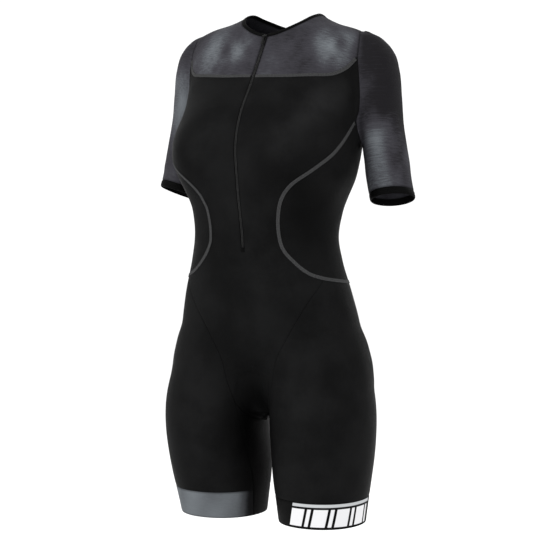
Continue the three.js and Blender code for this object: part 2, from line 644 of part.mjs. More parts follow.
// Zip: teeth in the slot, woven tape behind the cloth, and a tack where it ends.
const slot = join(yokeZip, frontLine.slice(0, zipRows + 1));
const beside = join(yokeHalf.map((row) => row[1]), frontHalf.slice(0, zipRows + 1).map((row) => row[1]));
const across = (s, x) => ({ at: [x, s.at[1], s.at[2]], out: unit([0, s.out[1], s.out[2]]) });
const teeth = slot.map((s) => [across(s, -coilHalf), across(s, coilHalf)]);
cloth('zip_teeth', 'trim', teeth, { low: -1.3, high: 0.1 });
const zipTape = slot.map((s, j) => {
  const t = (zipTapeHalf - zipSlotHalf) / (beside[j].at[0] - zipSlotHalf);
  return wholeRow([s, { at: between(s.at, beside[j].at, t), out: s.out }]);
});
cloth('zip_tape', 'black', zipTape, { low: -clothThick - 1.3, high: -clothThick - 0.5 });
const tackTop = frontLine[zipRows];
const tack = [1, -6].map((drop) => {
  const s = onSurface(settle([zipSlotHalf, tackTop.at[1], tackTop.at[2] + drop], skin), skin);
  return [across(s, -zipSlotHalf), across(s, zipSlotHalf)];
});
cloth('zip_tack', 'trim', tack, { low: 0.5, high: 1.3, pull: '' });

// Slider and pull tab, laid out along the zip: x across, y down the zip, z away from the cloth.
const wasm = await Module();
wasm.setup();
function solid(geometry) {
  geometry.deleteAttribute('normal');
  geometry.deleteAttribute('uv');
  const merged = mergeVertices(geometry, 1e-5);
  return new wasm.Manifold(new wasm.Mesh({
    numProp: 3,
    vertProperties: new Float32Array(merged.attributes.position.array),
    triVerts: new Uint32Array(merged.index.array),
  }));
}
const box = (x, y, z) => solid(new BoxGeometry(x[1] - x[0], y[1] - y[0], z[1] - z[0])
  .translate((x[0] + x[1]) / 2, (y[0] + y[1]) / 2, (z[0] + z[1]) / 2));
const rod = (radius, long) => solid(new CylinderGeometry(radius, radius, long, 16)
  .rotateZ(Math.PI / 2).translate(0, 0, pinHigh));
const sliderAt = settle([0, -77, -50], skin);
const sliderOut = unit(outward(sliderAt, skin));
const sliderDown = unit([0, -sliderOut[2], sliderOut[1]]).map((v) => (sliderOut[1] < 0 ? v : -v));
const sliderPlace = new Matrix4().set(
  -1, 0, 0, sliderAt[0],
  0, sliderDown[1], sliderOut[1], sliderAt[1],
  0, sliderDown[2], sliderOut[2], sliderAt[2],
  0, 0, 0, 1,
);
function putSolid(name, colour, made) {
  const mesh = made.getMesh();
  const geometry = new BufferGeometry();
  geometry.setAttribute('position', new Float32BufferAttribute(mesh.vertProperties, 3));
  geometry.setIndex([...mesh.triVerts]);
  geometry.applyMatrix4(sliderPlace);
  put(name, colour, [...geometry.attributes.position.array], [...geometry.index.array]);
}
const half = sliderLong / 2;
const lug = (side) => box([side * 2.9 - 0.5, side * 2.9 + 0.5], [-1.5, 1.5], [2.5, pinHigh + 1.2]);
const slider = box([-sliderWide / 2, sliderWide / 2], [-half, half], [1, 2.6])
  .add(box([-1.2, 1.2], [-3, 3], [0.4, 1.1])).add(lug(-1)).add(lug(1)).add(rod(pinRadius, 6));
putSolid('zip_slider', 'metal', slider);
const plate = [pinHigh - 0.6, pinHigh + 0.6];
const pullTab = rod(1.4, 4.2).add(box([-2.1, 2.1], [0.6, tabLong - 5], plate))
  .add(box([-3, 3], [tabLong - 6, tabLong], [plate[0] - 0.2, plate[1] + 0.2])).subtract(rod(pinRadius + 0.2, 5));
putSolid('pull_tab', 'metal', pullTab);

// Seat pad inside the crotch, made from the bodies' own points moved in.
const padRow = (row) => wholeRow(row.slice(0, 5));
const padGrid = [...frontHalf.slice(22).map(padRow), ...turned(backHalf.slice(21, 28)).map(padRow)];
const padEnds = padGrid.length - 2;
cloth('seat_pad', 'pad', padGrid, {
  low: -clothThick - 0.6 - padThick, high: -clothThick - 0.6,
  keep: (j, i) => Math.min(i, 8 - i) >= (j === 0 || j === padEnds ? 2 : 0),
});

export default model;
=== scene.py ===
# Triathlon suit in its worn form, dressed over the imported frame. The tables and the shapes are
# worked out in millimetres, as in the part's source, and go into the scene in metres.
import math
import bpy
import numpy as np
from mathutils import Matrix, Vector


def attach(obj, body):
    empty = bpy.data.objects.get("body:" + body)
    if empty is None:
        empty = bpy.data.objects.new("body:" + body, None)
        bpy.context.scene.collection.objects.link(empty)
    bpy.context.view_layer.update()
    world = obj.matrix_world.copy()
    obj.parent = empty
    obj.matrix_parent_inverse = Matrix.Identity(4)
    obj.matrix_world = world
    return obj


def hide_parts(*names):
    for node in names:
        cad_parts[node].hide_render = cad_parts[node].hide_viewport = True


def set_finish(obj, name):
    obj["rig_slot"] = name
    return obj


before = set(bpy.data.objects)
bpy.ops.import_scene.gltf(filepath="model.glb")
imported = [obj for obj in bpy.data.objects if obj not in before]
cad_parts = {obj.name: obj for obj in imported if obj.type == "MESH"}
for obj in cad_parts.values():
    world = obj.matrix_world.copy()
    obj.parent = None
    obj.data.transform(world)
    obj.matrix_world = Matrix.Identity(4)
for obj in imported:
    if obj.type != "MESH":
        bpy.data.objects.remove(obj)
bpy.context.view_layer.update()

fine = 7        # scene cells along each side of one of the part's cells
halfSlot = 3.0  # half the width of the slot that the zip stands in, in mm
zipCells = 13   # the part's cells down the slot, below the yoke
print("suit: frame loaded,", len(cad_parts), "nodes")

# Sections of the general figure that the suit is cut for, from the top down: height, middle
# across, middle in depth, half width outward and inward, depth forward and back, squareness.
torsoRows = np.array([
    [40, 0, 4, 48, 48, 48, 46, 2], [0, 0, 0, 58, 58, 50, 56, 2], [-12, 0, -2, 76, 76, 52, 62, 2],
    [-22, 0, -5, 100, 100, 55, 68, 2], [-30, 0, -8, 128, 128, 57, 74, 2.1],
    [-40, 0, -12, 149, 149, 60, 80, 2.2], [-60, 0, -18, 157, 157, 66, 90, 2.3],
    [-90, 0, -25, 157, 157, 78, 102, 2.4], [-130, 0, -33, 153, 153, 96, 114, 2.4],
    [-170, 0, -42, 150, 150, 116, 120, 2.3], [-205, 0, -48, 147, 147, 125, 120, 2.3],
    [-230, 0, -53, 144, 144, 124, 116, 2.3], [-250, 0, -57, 141, 141, 119, 112, 2.3],
    [-273, 0, -61, 138, 138, 112, 106, 2.3], [-300, 0, -66, 132, 132, 103, 98, 2.25],
    [-330, 0, -70, 126, 126, 93, 88, 2.2], [-366, 0, -74, 123, 123, 82, 82, 2.15],
    [-405, 0, -74, 129, 129, 78, 88, 2.15], [-457, 0, -71, 142, 142, 82, 100, 2.2],
    [-500, 0, -68, 152, 152, 78, 112, 2.2], [-540, 0, -66, 158, 158, 72, 118, 2.2],
    [-580, 0, -64, 160, 160, 60, 116, 2.2], [-610, 0, -62, 146, 146, 50, 104, 2.2],
    [-635, 0, -58, 104, 104, 34, 76, 2.1], [-650, 0, -54, 48, 48, 16, 40, 2],
    [-656, 0, -52, 10, 10, 5, 10, 2],
])
armRows = np.array([
    [-36, 148, -6, 4, 4, 6, 6, 2], [-42, 150, -6, 16, 14, 20, 22, 2],
    [-52, 152, -6, 27, 24, 32, 32, 2], [-68, 155, -6, 37, 35, 40, 40, 2],
    [-95, 158, -7, 43, 40, 44, 44, 2], [-140, 161, -8, 45, 34, 45, 45, 2],
    [-184, 168, -9, 42, 28, 43, 43, 2], [-205, 172, -10, 42, 27, 42, 42, 2],
    [-225, 177, -11, 41, 29, 41, 41, 2], [-245, 182, -12, 40, 31, 40, 40, 2],
    [-265, 187, -13, 38, 34, 38, 38, 2], [-300, 196, -15, 37, 36, 37, 37, 2],
    [-340, 206, -17, 36, 35, 36, 36, 2],
])
legRows = np.array([
    [-505, 84, -64, 30, 30, 24, 40, 2], [-530, 86, -64, 58, 50, 50, 76, 2],
    [-560, 88, -64, 72, 66, 70, 92, 2], [-600, 91, -64, 82, 74, 82, 97, 2.1],
    [-645, 94, -64, 87, 79, 89, 95, 2.1], [-680, 95, -63, 87, 80, 90, 90, 2.1],
    [-720, 95, -61, 84, 79, 87, 85, 2.1], [-760, 94, -58, 79, 77, 83, 79, 2.1],
    [-800, 93, -54, 73, 73, 77, 73, 2.1], [-832, 92, -51, 69, 70, 73, 69, 2.1],
    [-870, 92, -49, 66, 67, 70, 67, 2.1],
])
# Seams of the wearer's left half, as in the part's source: the number of the part's cells along
# each, the area of the figure that it lies on, and the points that it runs through.
seamPlan = {
    "neck": (22, "all", [[3, -73, -42], [16, -71, -39], [32, -65, -32.5], [50, -51, -22],
        [60, -25, -9], [62, 2, -1], [57, 30, -6], [42, 49, -14], [22, 60, -20], [3, 63, -22]]),
    "yokeFront": (6, "all", [[3, -118, -114], [55, -114, -114], [100, -101, -112],
        [126, -88, -108.5], [142, -70, -97], [152, -53, -79]]),
    "yokeBack": (6, "all", [[3, 82, -114], [60, 78, -113], [110, 62, -108], [138, 40, -96]]),
    "frontUpper": (5, "armhole", [[134, 2, -33], [140, -17, -36], [148, -36, -47],
        [152, -53, -79]]),
    "frontLower": (4, "armhole", [[152, -53, -79], [155, -54, -110], [156, -53, -145],
        [153, -55, -180]]),
    "under": (6, "armhole", [[153, -55, -180], [150, -41, -205], [148, -24, -220], [147, -9, -226],
        [146, 4, -222], [143, 12, -206], [141, 16, -188]]),
    "backLower": (4, "armhole", [[141, 16, -188], [139, 24, -158], [138, 32, -125],
        [138, 40, -96]]),
    "backUpper": (5, "armhole", [[138, 40, -96], [136, 38, -66], [134, 24, -42], [134, 2, -33]]),
    "sideFront": (12, "all", [[153, -55, -180], [149, -88, -206], [142, -121, -232],
        [125, -153, -258], [94, -164, -281], [70, -157, -308], [61, -150, -346], [65, -144, -383],
        [84, -136, -408], [104, -126, -425], [122, -110, -433]]),
    "sideBack": (12, "all", [[141, 16, -188], [137, 30, -212], [125, 42, -240], [108, 46, -270],
        [92, 38, -303], [85, 20, -340], [86, 8, -375], [94, 10, -402], [106, 12, -421],
        [118, 12, -433]]),
    "sideFoot": (6, "all", [[122, -110, -433], [134, -92, -436], [141, -62, -438], [137, -28, -438],
        [118, 12, -433]]),
    "hipFront": (8, "all", [[122, -110, -433], [116, -121, -449], [101, -132, -475],
        [70, -136, -526], [50, -136, -563], [40, -133, -602], [31, -122, -636]]),
    "hipBack": (8, "all", [[118, 12, -433], [110, 28, -460], [92, 44, -495], [70, 52, -535],
        [54, 48, -575], [44, 36, -608], [34, 18, -636]]),
    "crotchFront": (4, "all", [[31, -122, -636], [24, -104, -655], [17, -84, -664],
        [14, -62, -667]]),
    "crotchBack": (4, "all", [[14, -62, -667], [16, -40, -665], [24, -12, -655], [34, 18, -636]]),
    "insideFront": (8, "leg", [[31, -122, -636], [26, -114, -668], [22, -102, -710],
        [21, -88, -750], [23, -78, -785]]),
    "insideBack": (8, "leg", [[34, 18, -636], [28, 6, -668], [22, -10, -710], [22, -18, -750],
        [24, -22, -785]]),
}
frontMiddle = np.array([
    [0, -73, -45], [0, -103, -90], [0, -118, -114], [0, -152, -175], [0, -170, -225],
    [0, -172, -285], [0, -160, -342], [0, -154, -386], [0, -150, -440], [0, -146, -500],
    [0, -134, -560], [0, -120, -600], [0, -104, -634], [0, -82, -652], [0, -62, -656],
])
backMiddle = np.array([
    [0, 70, -30], [0, 77, -70], [0, 82, -114], [0, 80, -170], [0, 68, -230], [0, 46, -290],
    [0, 14, -350], [0, 12, -400], [0, 30, -460], [0, 48, -530], [0, 44, -580], [0, 24, -620],
    [0, -20, -650], [0, -62, -656],
])
bustMiddle, bustRadius = np.array([80, -96, -238]), np.array([60, 84, 60])
# Turns a point and its outward direction to the wearer's right.
toRight = np.array([-1, 1, 1, -1, 1, 1])


# A smooth cubic curve runs through each column of the table and is read at every height.
def sectionAt(rows, height):
    heights = rows[:, 0]
    z = np.clip(height, heights[-1], heights[0])
    i = np.clip(np.searchsorted(-heights, -z, side="left") - 1, 0, len(rows) - 2)
    step = np.diff(heights)[:, None]
    slope = np.diff(rows[:, 1:], axis=0) / step
    middle = (slope[:-1] * step[1:] + slope[1:] * step[:-1]) / (step[1:] + step[:-1])
    lean = np.concatenate([slope[:1], middle, slope[-1:]])
    h = step[i]
    t = (z - heights[i])[..., None] / h
    found = ((2 * t**3 - 3 * t**2 + 1) * rows[i, 1:] + (t**3 - 2 * t**2 + t) * h * lean[i]
             + (3 * t**2 - 2 * t**3) * rows[i + 1, 1:] + (t**3 - t**2) * h * lean[i + 1])
    return np.moveaxis(found, -1, 0)


# Distance from the tube's middle line, times how far past its superellipse section a point is.
def outsideTube(rows, x, y, z):
    middleX, middleY, outer, inner, forward, back, square = sectionAt(rows, z)
    across, deep = x - middleX, y - middleY
    reach = (np.abs(across / np.where(across > 0, outer, inner)) ** square
             + np.abs(deep / np.where(deep > 0, back, forward)) ** square) ** (1 / square) + 1e-9
    past = np.maximum(z - rows[0, 0], 0) + np.maximum(rows[-1, 0] - z, 0)
    return np.hypot(across, deep) * (1 - 1 / reach) + past


# The smaller of two distances, rounded off where they are less than the width apart.
def blend(a, b, width):
    h = np.maximum(width - np.abs(a - b), 0) / width
    return np.minimum(a, b) - h * h * width / 4


# Heights in mm where the limbs part from the torso, how fast a parted surface draws back with
# each mm below that, how wide the surfaces blend into each other, and the size of the bust.
figure = {"underarm": -214, "crotch": -636, "drawBack": 0.8, "armsAbove": -480, "legsBelow": -440,
          "bust": 60, "bustBlend": 45, "armBlend": 12, "thighBlend": 26, "hipBlend": 40}


# The figure's surface is where this is zero: the torso blended with the bust, the arms and the
# legs. Below the underarm the sleeve and the chest are apart, and so are the legs below the
# crotch: area says which of them the cloth follows.
def outside(p, area):
    px, y, z = p[..., 0], p[..., 1], p[..., 2]
    if area == "cuff":
        return outsideTube(armRows, px, y, z)
    x = px if area in ("leg", "sleeve") else np.abs(px)
    underarm = figure["drawBack"] * np.maximum(0, figure["underarm"] - z)
    underCrotch = figure["drawBack"] * np.maximum(0, figure["crotch"] - z) * (area == "leg")
    fromBust = np.linalg.norm((np.stack([x, y, z], -1) - bustMiddle) / bustRadius, axis=-1)
    torso = blend(outsideTube(torsoRows, x, y, z), figure["bust"] * (fromBust - 1), figure["bustBlend"])
    torso = torso + underarm * (area == "sleeve")
    if (z > figure["armsAbove"]).any():
        arm = outsideTube(armRows, x, y, z) + underarm * (area != "sleeve")
        joined = blend(torso, arm, figure["armBlend"]) + underarm * (area == "armhole")
        torso = np.where(z > figure["armsAbove"], joined, torso)
    if (z < figure["legsBelow"]).any():
        otherLeg = outsideTube(legRows, -x, y, z) + underCrotch
        legs = blend(outsideTube(legRows, x, y, z), otherLeg, figure["thighBlend"])
        joined = blend(torso + underCrotch, legs, figure["hipBlend"])
        torso = np.where(z < figure["legsBelow"], joined, torso)
    return torso


# Steepest way away from the figure: for each axis, the difference between two places that lie a
# small step to both sides, divided by how far apart they are.
def outward(p, area, step=0.4):
    steps = step * np.eye(3)
    return np.stack([outside(p + s, area) - outside(p - s, area) for s in steps], -1) / (2 * step)


# Moves points along the steepest way until they lie on the figure's surface: each round takes
# off their distance from it, but no more than the longest move in mm.
def settle(p, area, rounds=14, longestMove=12):
    for _ in range(rounds):
        way = outward(p, area)
        square = (way**2).sum(-1, keepdims=True) + 1e-6
        longest = longestMove / np.sqrt(square)
        p = p + way * np.clip(-outside(p, area)[..., None] / square, -longest, longest)
    return p


# Goes level from the torso's middle through each point and stops at the surface: it takes equal
# strides while it is inside, and then halves the last stride until its end is exact.
def reachOut(p, area, stride=6):
    middle = np.stack([0 * p[..., 0], sectionAt(torsoRows, p[..., 2])[1], p[..., 2]], -1)
    way = p - middle
    way = way / np.linalg.norm(way, axis=-1, keepdims=True)
    near = np.full(p.shape[:-1] + (1,), 10.0)
    going = np.ones(near.shape, bool)
    for _ in range(48):
        going &= (outside(middle + way * (near + stride), area) < 0)[..., None]
        near = np.where(going, near + stride, near)
    far = near + stride
    for _ in range(16):
        half = (near + far) / 2
        isIn = (outside(middle + way * half, area) < 0)[..., None]
        near, far = np.where(isIn, half, near), np.where(isIn, far, half)
    return middle + way * (near + far) / 2


# Points above the crotch go level to the surface, and those below it the steepest way.
def layOnTorso(p, area):
    return np.where(p[..., 2:] > -585, reachOut(p, area), settle(p, area))


# A point and its outward direction, side by side.
def onSurface(p, area):
    way = outward(p, area)
    return np.concatenate([p, way / np.linalg.norm(way, axis=-1, keepdims=True)], -1)


# A smooth curve through the points, cut in lengths and laid on the surface. The lengths are
# equal, or grow along it where the ease is over 1.
def seam(points, pieces, area, ease=1):
    points = np.asarray(points, float)
    before, here = np.vstack([points[:1], points[:-2]])[:, None], points[:-1][:, None]
    after, later = points[1:][:, None], np.vstack([points[2:], points[-1:]])[:, None]
    t = (np.arange(12) / 12)[None, :, None]
    curve = 0.5 * (2 * here + (after - before) * t + (2 * before - 5 * here + 4 * after - later) * t**2
                   + (3 * here - before - 3 * after + later) * t**3)
    curve = np.vstack([curve.reshape(-1, 3), points[-1:]])
    along = np.append(0, np.cumsum(np.linalg.norm(np.diff(curve, axis=0), axis=1)))
    want = along[-1] * np.linspace(0, 1, pieces * fine + 1) ** ease
    laid = np.stack([np.interp(want, along, curve[:, c]) for c in range(3)], -1)
    return onSurface(settle(laid, area), area)


# Lines that follow each other, as one: a point that two of them share is taken once.
def join(*lines):
    return np.concatenate([line[:-1] for line in lines[:-1]] + [lines[-1]])


# Weights of a cubic curve through a cell's two corners and their neighbours, for every fine point.
def finerWeights(cells):
    k = np.arange(cells * fine + 1)
    i = np.minimum(k // fine, cells - 1)
    t = k / fine - i
    weights = np.zeros((len(k), cells + 3))
    terms = (-t + 2 * t**2 - t**3, 2 - 5 * t**2 + 3 * t**3, t + 4 * t**2 - 3 * t**3, t**3 - t**2)
    for c, term in enumerate(terms):
        weights[np.arange(len(k)), i + c] += term / 2
    weights[:, 1] += 2 * weights[:, 0]      # past each end the curve goes straight on
    weights[:, 2] -= weights[:, 0]
    weights[:, -2] += 2 * weights[:, -1]
    weights[:, -3] -= weights[:, -1]
    return weights[:, 1:-1]


# A panel between four seams. The part's own cells come first, from straight lines between the
# start and end seams plus the bows of the top and foot seams, evened ten times and laid on the
# surface. A smooth surface through them is then fitted to the fine seams and laid again.
def panel(top, foot, start, end, area, lay=settle, hold=1):
    t, f, s, e = (line[::fine, :3] for line in (top, foot, start, end))
    u = np.linspace(0, 1, len(t))[None, :, None]
    v = np.linspace(0, 1, len(s))[:, None, None]
    bow = lambda edge: edge - edge[0] - (edge[-1] - edge[0]) * u[0]
    guess = s[:, None] + (e - s)[:, None] * u + (1 - v) ** hold * bow(t) + v**hold * bow(f)
    guess[:, 0], guess[:, -1], guess[0], guess[-1] = s, e, t, f
    for _ in range(10):
        near = (guess[:-2, 1:-1] + guess[2:, 1:-1] + guess[1:-1, :-2] + guess[1:-1, 2:]) / 4
        guess[1:-1, 1:-1] += 0.6 * (near - guess[1:-1, 1:-1])
    guess[1:-1, 1:-1] = lay(guess[1:-1, 1:-1], area)
    at = np.einsum("ab,bcd,ec->aed", finerWeights(len(s) - 1), guess, finerWeights(len(t) - 1))
    u = np.linspace(0, 1, at.shape[1])[None, :, None]
    v = np.linspace(0, 1, at.shape[0])[:, None, None]
    at = at + (1 - v) * (top[:, :3] - at[0]) + v * (foot[:, :3] - at[-1])
    at = at + (1 - u) * (start[:, :3] - at[:, 0])[:, None] + u * (end[:, :3] - at[:, -1])[:, None]
    grid = onSurface(settle(at, area, 3), area)
    grid[:, 0], grid[:, -1], grid[0], grid[-1] = start, end, top, foot
    return grid


def mirrored(grid):  # the same piece on the wearer's right, with its columns turned about
    return grid[:, ::-1] * toRight


def wholeRow(half):  # from the wearer's right edge to the left one
    return np.concatenate([mirrored(half), half], 1)


def joinWhole(half):  # round the neck, from the left of the zip to its right
    return np.concatenate([half, mirrored(half)], 1)


# The wearer's left shoulder hangs lower: each point drops by 0.035 of how far left it is.
def tilted(p):
    t = np.clip((p[..., 2:] + 480) / 240, 0, 1)
    return p - np.array([0, 0, 0.035]) * p[..., :1] * t * t * (3 - 2 * t)


# The seams, in the plan's order. Where seams meet they share a point.
(neck, yokeFront, yokeBack, frontUpper, frontLower, under, backLower, backUpper, sideFront, sideBack,
 sideFoot, hipFront, hipBack, crotchFront, crotchBack, insideFront, insideBack) = (
    seam(points, cells, area) for cells, area, points in seamPlan.values())
meetings = [
    [(frontLower, 0), (frontUpper, -1), (yokeFront, -1)], [(backUpper, 0), (backLower, -1), (yokeBack, -1)],
    [(frontUpper, 0), (backUpper, -1)], [(under, 0), (frontLower, -1), (sideFront, 0)],
    [(backLower, 0), (under, -1), (sideBack, 0)], [(sideFoot, 0), (sideFront, -1), (hipFront, 0)],
    [(sideFoot, -1), (sideBack, -1), (hipBack, 0)], [(hipFront, -1), (crotchFront, 0), (insideFront, 0)],
    [(hipBack, -1), (crotchBack, -1), (insideBack, 0)], [(crotchFront, -1), (crotchBack, 0)],
]
for ends in meetings:
    for line, end in ends:
        line[end] = ends[0][0][ends[0][1]]
print("suit: seams laid on the figure")


# The yoke's neck edge lies one binding width outside the neck edge, square to it.
def besideNeck(width):
    along = np.gradient(neck[:, :3], axis=0)
    side = np.cross(along, neck[:, 3:])
    side *= -np.sign(side[:, 2:]) / np.linalg.norm(side, axis=1, keepdims=True)
    moved = settle(neck[:, :3] + side * width, "all")
    moved[[0, -1], 0] = halfSlot
    return onSurface(moved, "all")


# A seam down the front or back, kept half a slot's width from the suit's middle.
def zipLine(points, pieces, ease=1):
    line = seam([[halfSlot, p[1], p[2]] for p in points], pieces, "all", ease)[:, :3]
    line[:, 0] = halfSlot
    return onSurface(line, "all")


yokeNeck = besideNeck(6)  # in mm
neck[[0, -1], 0] = halfSlot
yokeZip = zipLine([yokeNeck[0], [halfSlot, -96, -80], yokeFront[0]], 5)
yokeMiddle = zipLine([yokeNeck[-1], [halfSlot, 77, -70], yokeBack[0]], 5)
yokeZip[[0, -1]], yokeMiddle[[0, -1]] = [yokeNeck[0], yokeFront[0]], [yokeNeck[-1], yokeBack[0]]
yokeEdge = join(yokeFront, frontUpper[::-1], backUpper[::-1], yokeBack[::-1])
yokeGrid = joinWhole(panel(yokeNeck, yokeEdge, yokeZip, yokeMiddle, "all"))


# A body's middle line from the yoke's seam down, in two lengths that meet where the zip stops.
def middleLine(points, top, foot, stop):
    below = points[points[:, 2] <= -114]
    at = int(np.argmax(below[:, 2] <= stop))
    line = join(zipLine(below[:at + 1], zipCells, 1.5), zipLine(below[at:], 15))
    line[0], line[-1] = top, foot
    return line


crotchMiddle = settle(np.array([halfSlot, -62, -657]), "all")
crotchMiddle = onSurface(np.array([halfSlot, *crotchMiddle[1:]]), "all")
crossSeam = seam([crotchMiddle[:3], crotchFront[-1, :3]], 6, "all")
crossSeam[0], crossSeam[-1] = crotchMiddle, crotchFront[-1]
frontEdge = join(frontLower, sideFront, hipFront, crotchFront)
backEdge = join(backLower[::-1], sideBack, hipBack, crotchBack[::-1])
frontLine = middleLine(frontMiddle, yokeFront[0], crotchMiddle, -386)
backLine = middleLine(backMiddle, yokeBack[0], crotchMiddle, -400)
frontHalf = panel(yokeFront, crossSeam, frontLine, frontEdge, "all", layOnTorso, 4)
backHalf = panel(yokeBack, crossSeam, backLine, backEdge, "all", layOnTorso, 4)
sideGrid = panel(under, sideFoot, sideFront, sideBack, "all", layOnTorso)
print("suit: yoke, bodies and side panels shaped")


legStart = 78  # radius of the circle that a leg's ring starts from, in mm


# A level ring of the leg at these turns from the front: it starts as a circle round the leg's
# middle, and each point then goes level towards the surface.
def legRing(height, turns):
    middleX, middleY = sectionAt(legRows, height)[:2]
    a = np.radians(turns)
    p = np.stack([middleX + np.sin(a) * legStart, middleY - np.cos(a) * legStart, height + 0 * a], -1)
    for _ in range(30):
        level = outward(p, "leg") * [1, 1, 0]
        share = 0.7 * outside(p, "leg")[:, None] / ((level**2).sum(-1, keepdims=True) + 1e-6)
        p = p - level * share
    return onSurface(p, "leg")


def turnOf(p):  # how many degrees a point is turned from the leg's front
    middleX, middleY = sectionAt(legRows, p[2])[:2]
    return math.degrees(math.atan2(p[0] - middleX, middleY - p[1]))


def spread(*stops):  # (from, to, the part's cells between them), one after another
    return np.concatenate([np.linspace(a, b, n * fine + 1)[1:] for a, b, n in stops])


frontTurn, backTurn = turnOf(insideFront[-1]), turnOf(insideBack[-1]) + 360
outerTurns = np.append(frontTurn, spread((frontTurn, 31, 8), (31, 155, 6), (155, backTurn, 8)))
innerTurns = np.append(backTurn - 360, spread((backTurn - 360, frontTurn, 8)))
bandHeights = (-785, -829)  # where the leg bands start and end
bandTop, bandHem = (legRing(height, outerTurns) for height in bandHeights)
insideTop, insideHem = (legRing(height, innerTurns)[::-1].copy() for height in bandHeights)
insideFront[-1], insideBack[-1] = bandTop[0], bandTop[-1]
insideTop[[0, -1]], insideHem[[0, -1]] = bandTop[[0, -1]], bandHem[[0, -1]]
legTop = join(hipFront[::-1], sideFoot, hipBack)
legGrid = panel(legTop, bandTop, insideFront, insideBack, "leg")


# Rows between two rings, level by level.
def bandRows(top, hem, cells):
    t = np.linspace(0, 1, cells * fine + 1)[:, None, None]
    at = top[None, :, :3] + (hem - top)[None, :, :3] * t
    grid = onSurface(settle(at, "leg", 6), "leg")
    grid[0], grid[-1] = top, hem
    return grid


bandGrid = bandRows(bandTop, bandHem, 2)
gussetUpper = panel(join(crotchFront, crotchBack), insideTop, insideFront, insideBack, "leg")
gussetGrid = np.concatenate([gussetUpper, bandRows(insideTop, insideHem, 2)[1:]])[:, ::-1]
print("suit: legs shaped")


# The cuff's hem: its height at one place, the place, how far its level slants with each mm
# across and back, and how far above it the cuff starts.
cuffLevel = {"height": -303.0, "across": 202, "deep": -16, "slantAcross": 0.228, "slantDeep": -0.24,
             "high": 12}


# A cuff ring: the arm's section where the slanting level meets it, found in five rounds.
def cuffRing(lift):
    a = np.radians(np.append(0, spread((0, -62, 5), (-62, -122, 4), (-122, -238, 6), (-238, -298, 4),
                                       (-298, -360, 5)))[:-1])
    c, s = np.cos(a), np.sin(a)
    base = cuffLevel["height"] + lift
    height = np.full(len(a), base)
    for _ in range(5):
        middleX, middleY, outer, inner, forward, back = sectionAt(armRows, height)[:6]
        x = middleX + c * np.where(c > 0, outer, inner)
        y = middleY + s * np.where(s > 0, back, forward)
        last, height = height, (base + cuffLevel["slantAcross"] * (x - cuffLevel["across"])
                                + cuffLevel["slantDeep"] * (y - cuffLevel["deep"]))
    return onSurface(settle(np.stack([x, y, last], -1), "cuff"), "cuff")


armholeRing = join(frontUpper, frontLower, under, backLower, backUpper)[:-1]
cuffTop, cuffHem = cuffRing(cuffLevel["high"]), cuffRing(0)


# Straight lines from the armhole to the cuff, bulged outward most where they are halfway and
# lifted near the top of the shoulder, then evened between their neighbours.
sleeve = {"bulge": 34, "lift": 15, "liftEnds": 0.35, "rounds": 12}


def sleeveRows(cells):
    t = np.linspace(0, 1, cells * fine + 1)[:, None, None]
    at = armholeRing[None, :, :3] * (1 - t) + cuffTop[None, :, :3] * t
    facingOut, facingUp = np.maximum(cuffTop[:, 3:4], 0), np.maximum(armholeRing[:, 5:], 0)
    at = at + cuffTop[None, :, 3:] * [1, 1, 0] * sleeve["bulge"] * 4 * t * (1 - t) * facingOut
    u = np.clip(t / sleeve["liftEnds"], 0, 1)
    at = at + armholeRing[None, :, 3:] * sleeve["lift"] * 4 * u * (1 - u) * facingUp
    at = settle(at, "sleeve")
    for _ in range(sleeve["rounds"]):
        beside = (np.roll(at, 1, 1) + np.roll(at, -1, 1))[1:-1]
        at[1:-1] = settle(at[1:-1] * 0.5 + (at[:-2] + at[2:] + beside) * 0.125, "sleeve", 2)
    grid = onSurface(settle(at, "sleeve", 6), "sleeve")
    grid[0], grid[-1] = armholeRing, cuffTop
    return grid[:, ::-1]


sleeveGrid = sleeveRows(11)
cuffRows = onSurface(settle(np.linspace(cuffTop[:, :3], cuffHem[:, :3], 9), "cuff", 4), "cuff")[:, ::-1]
print("suit: sleeves shaped")

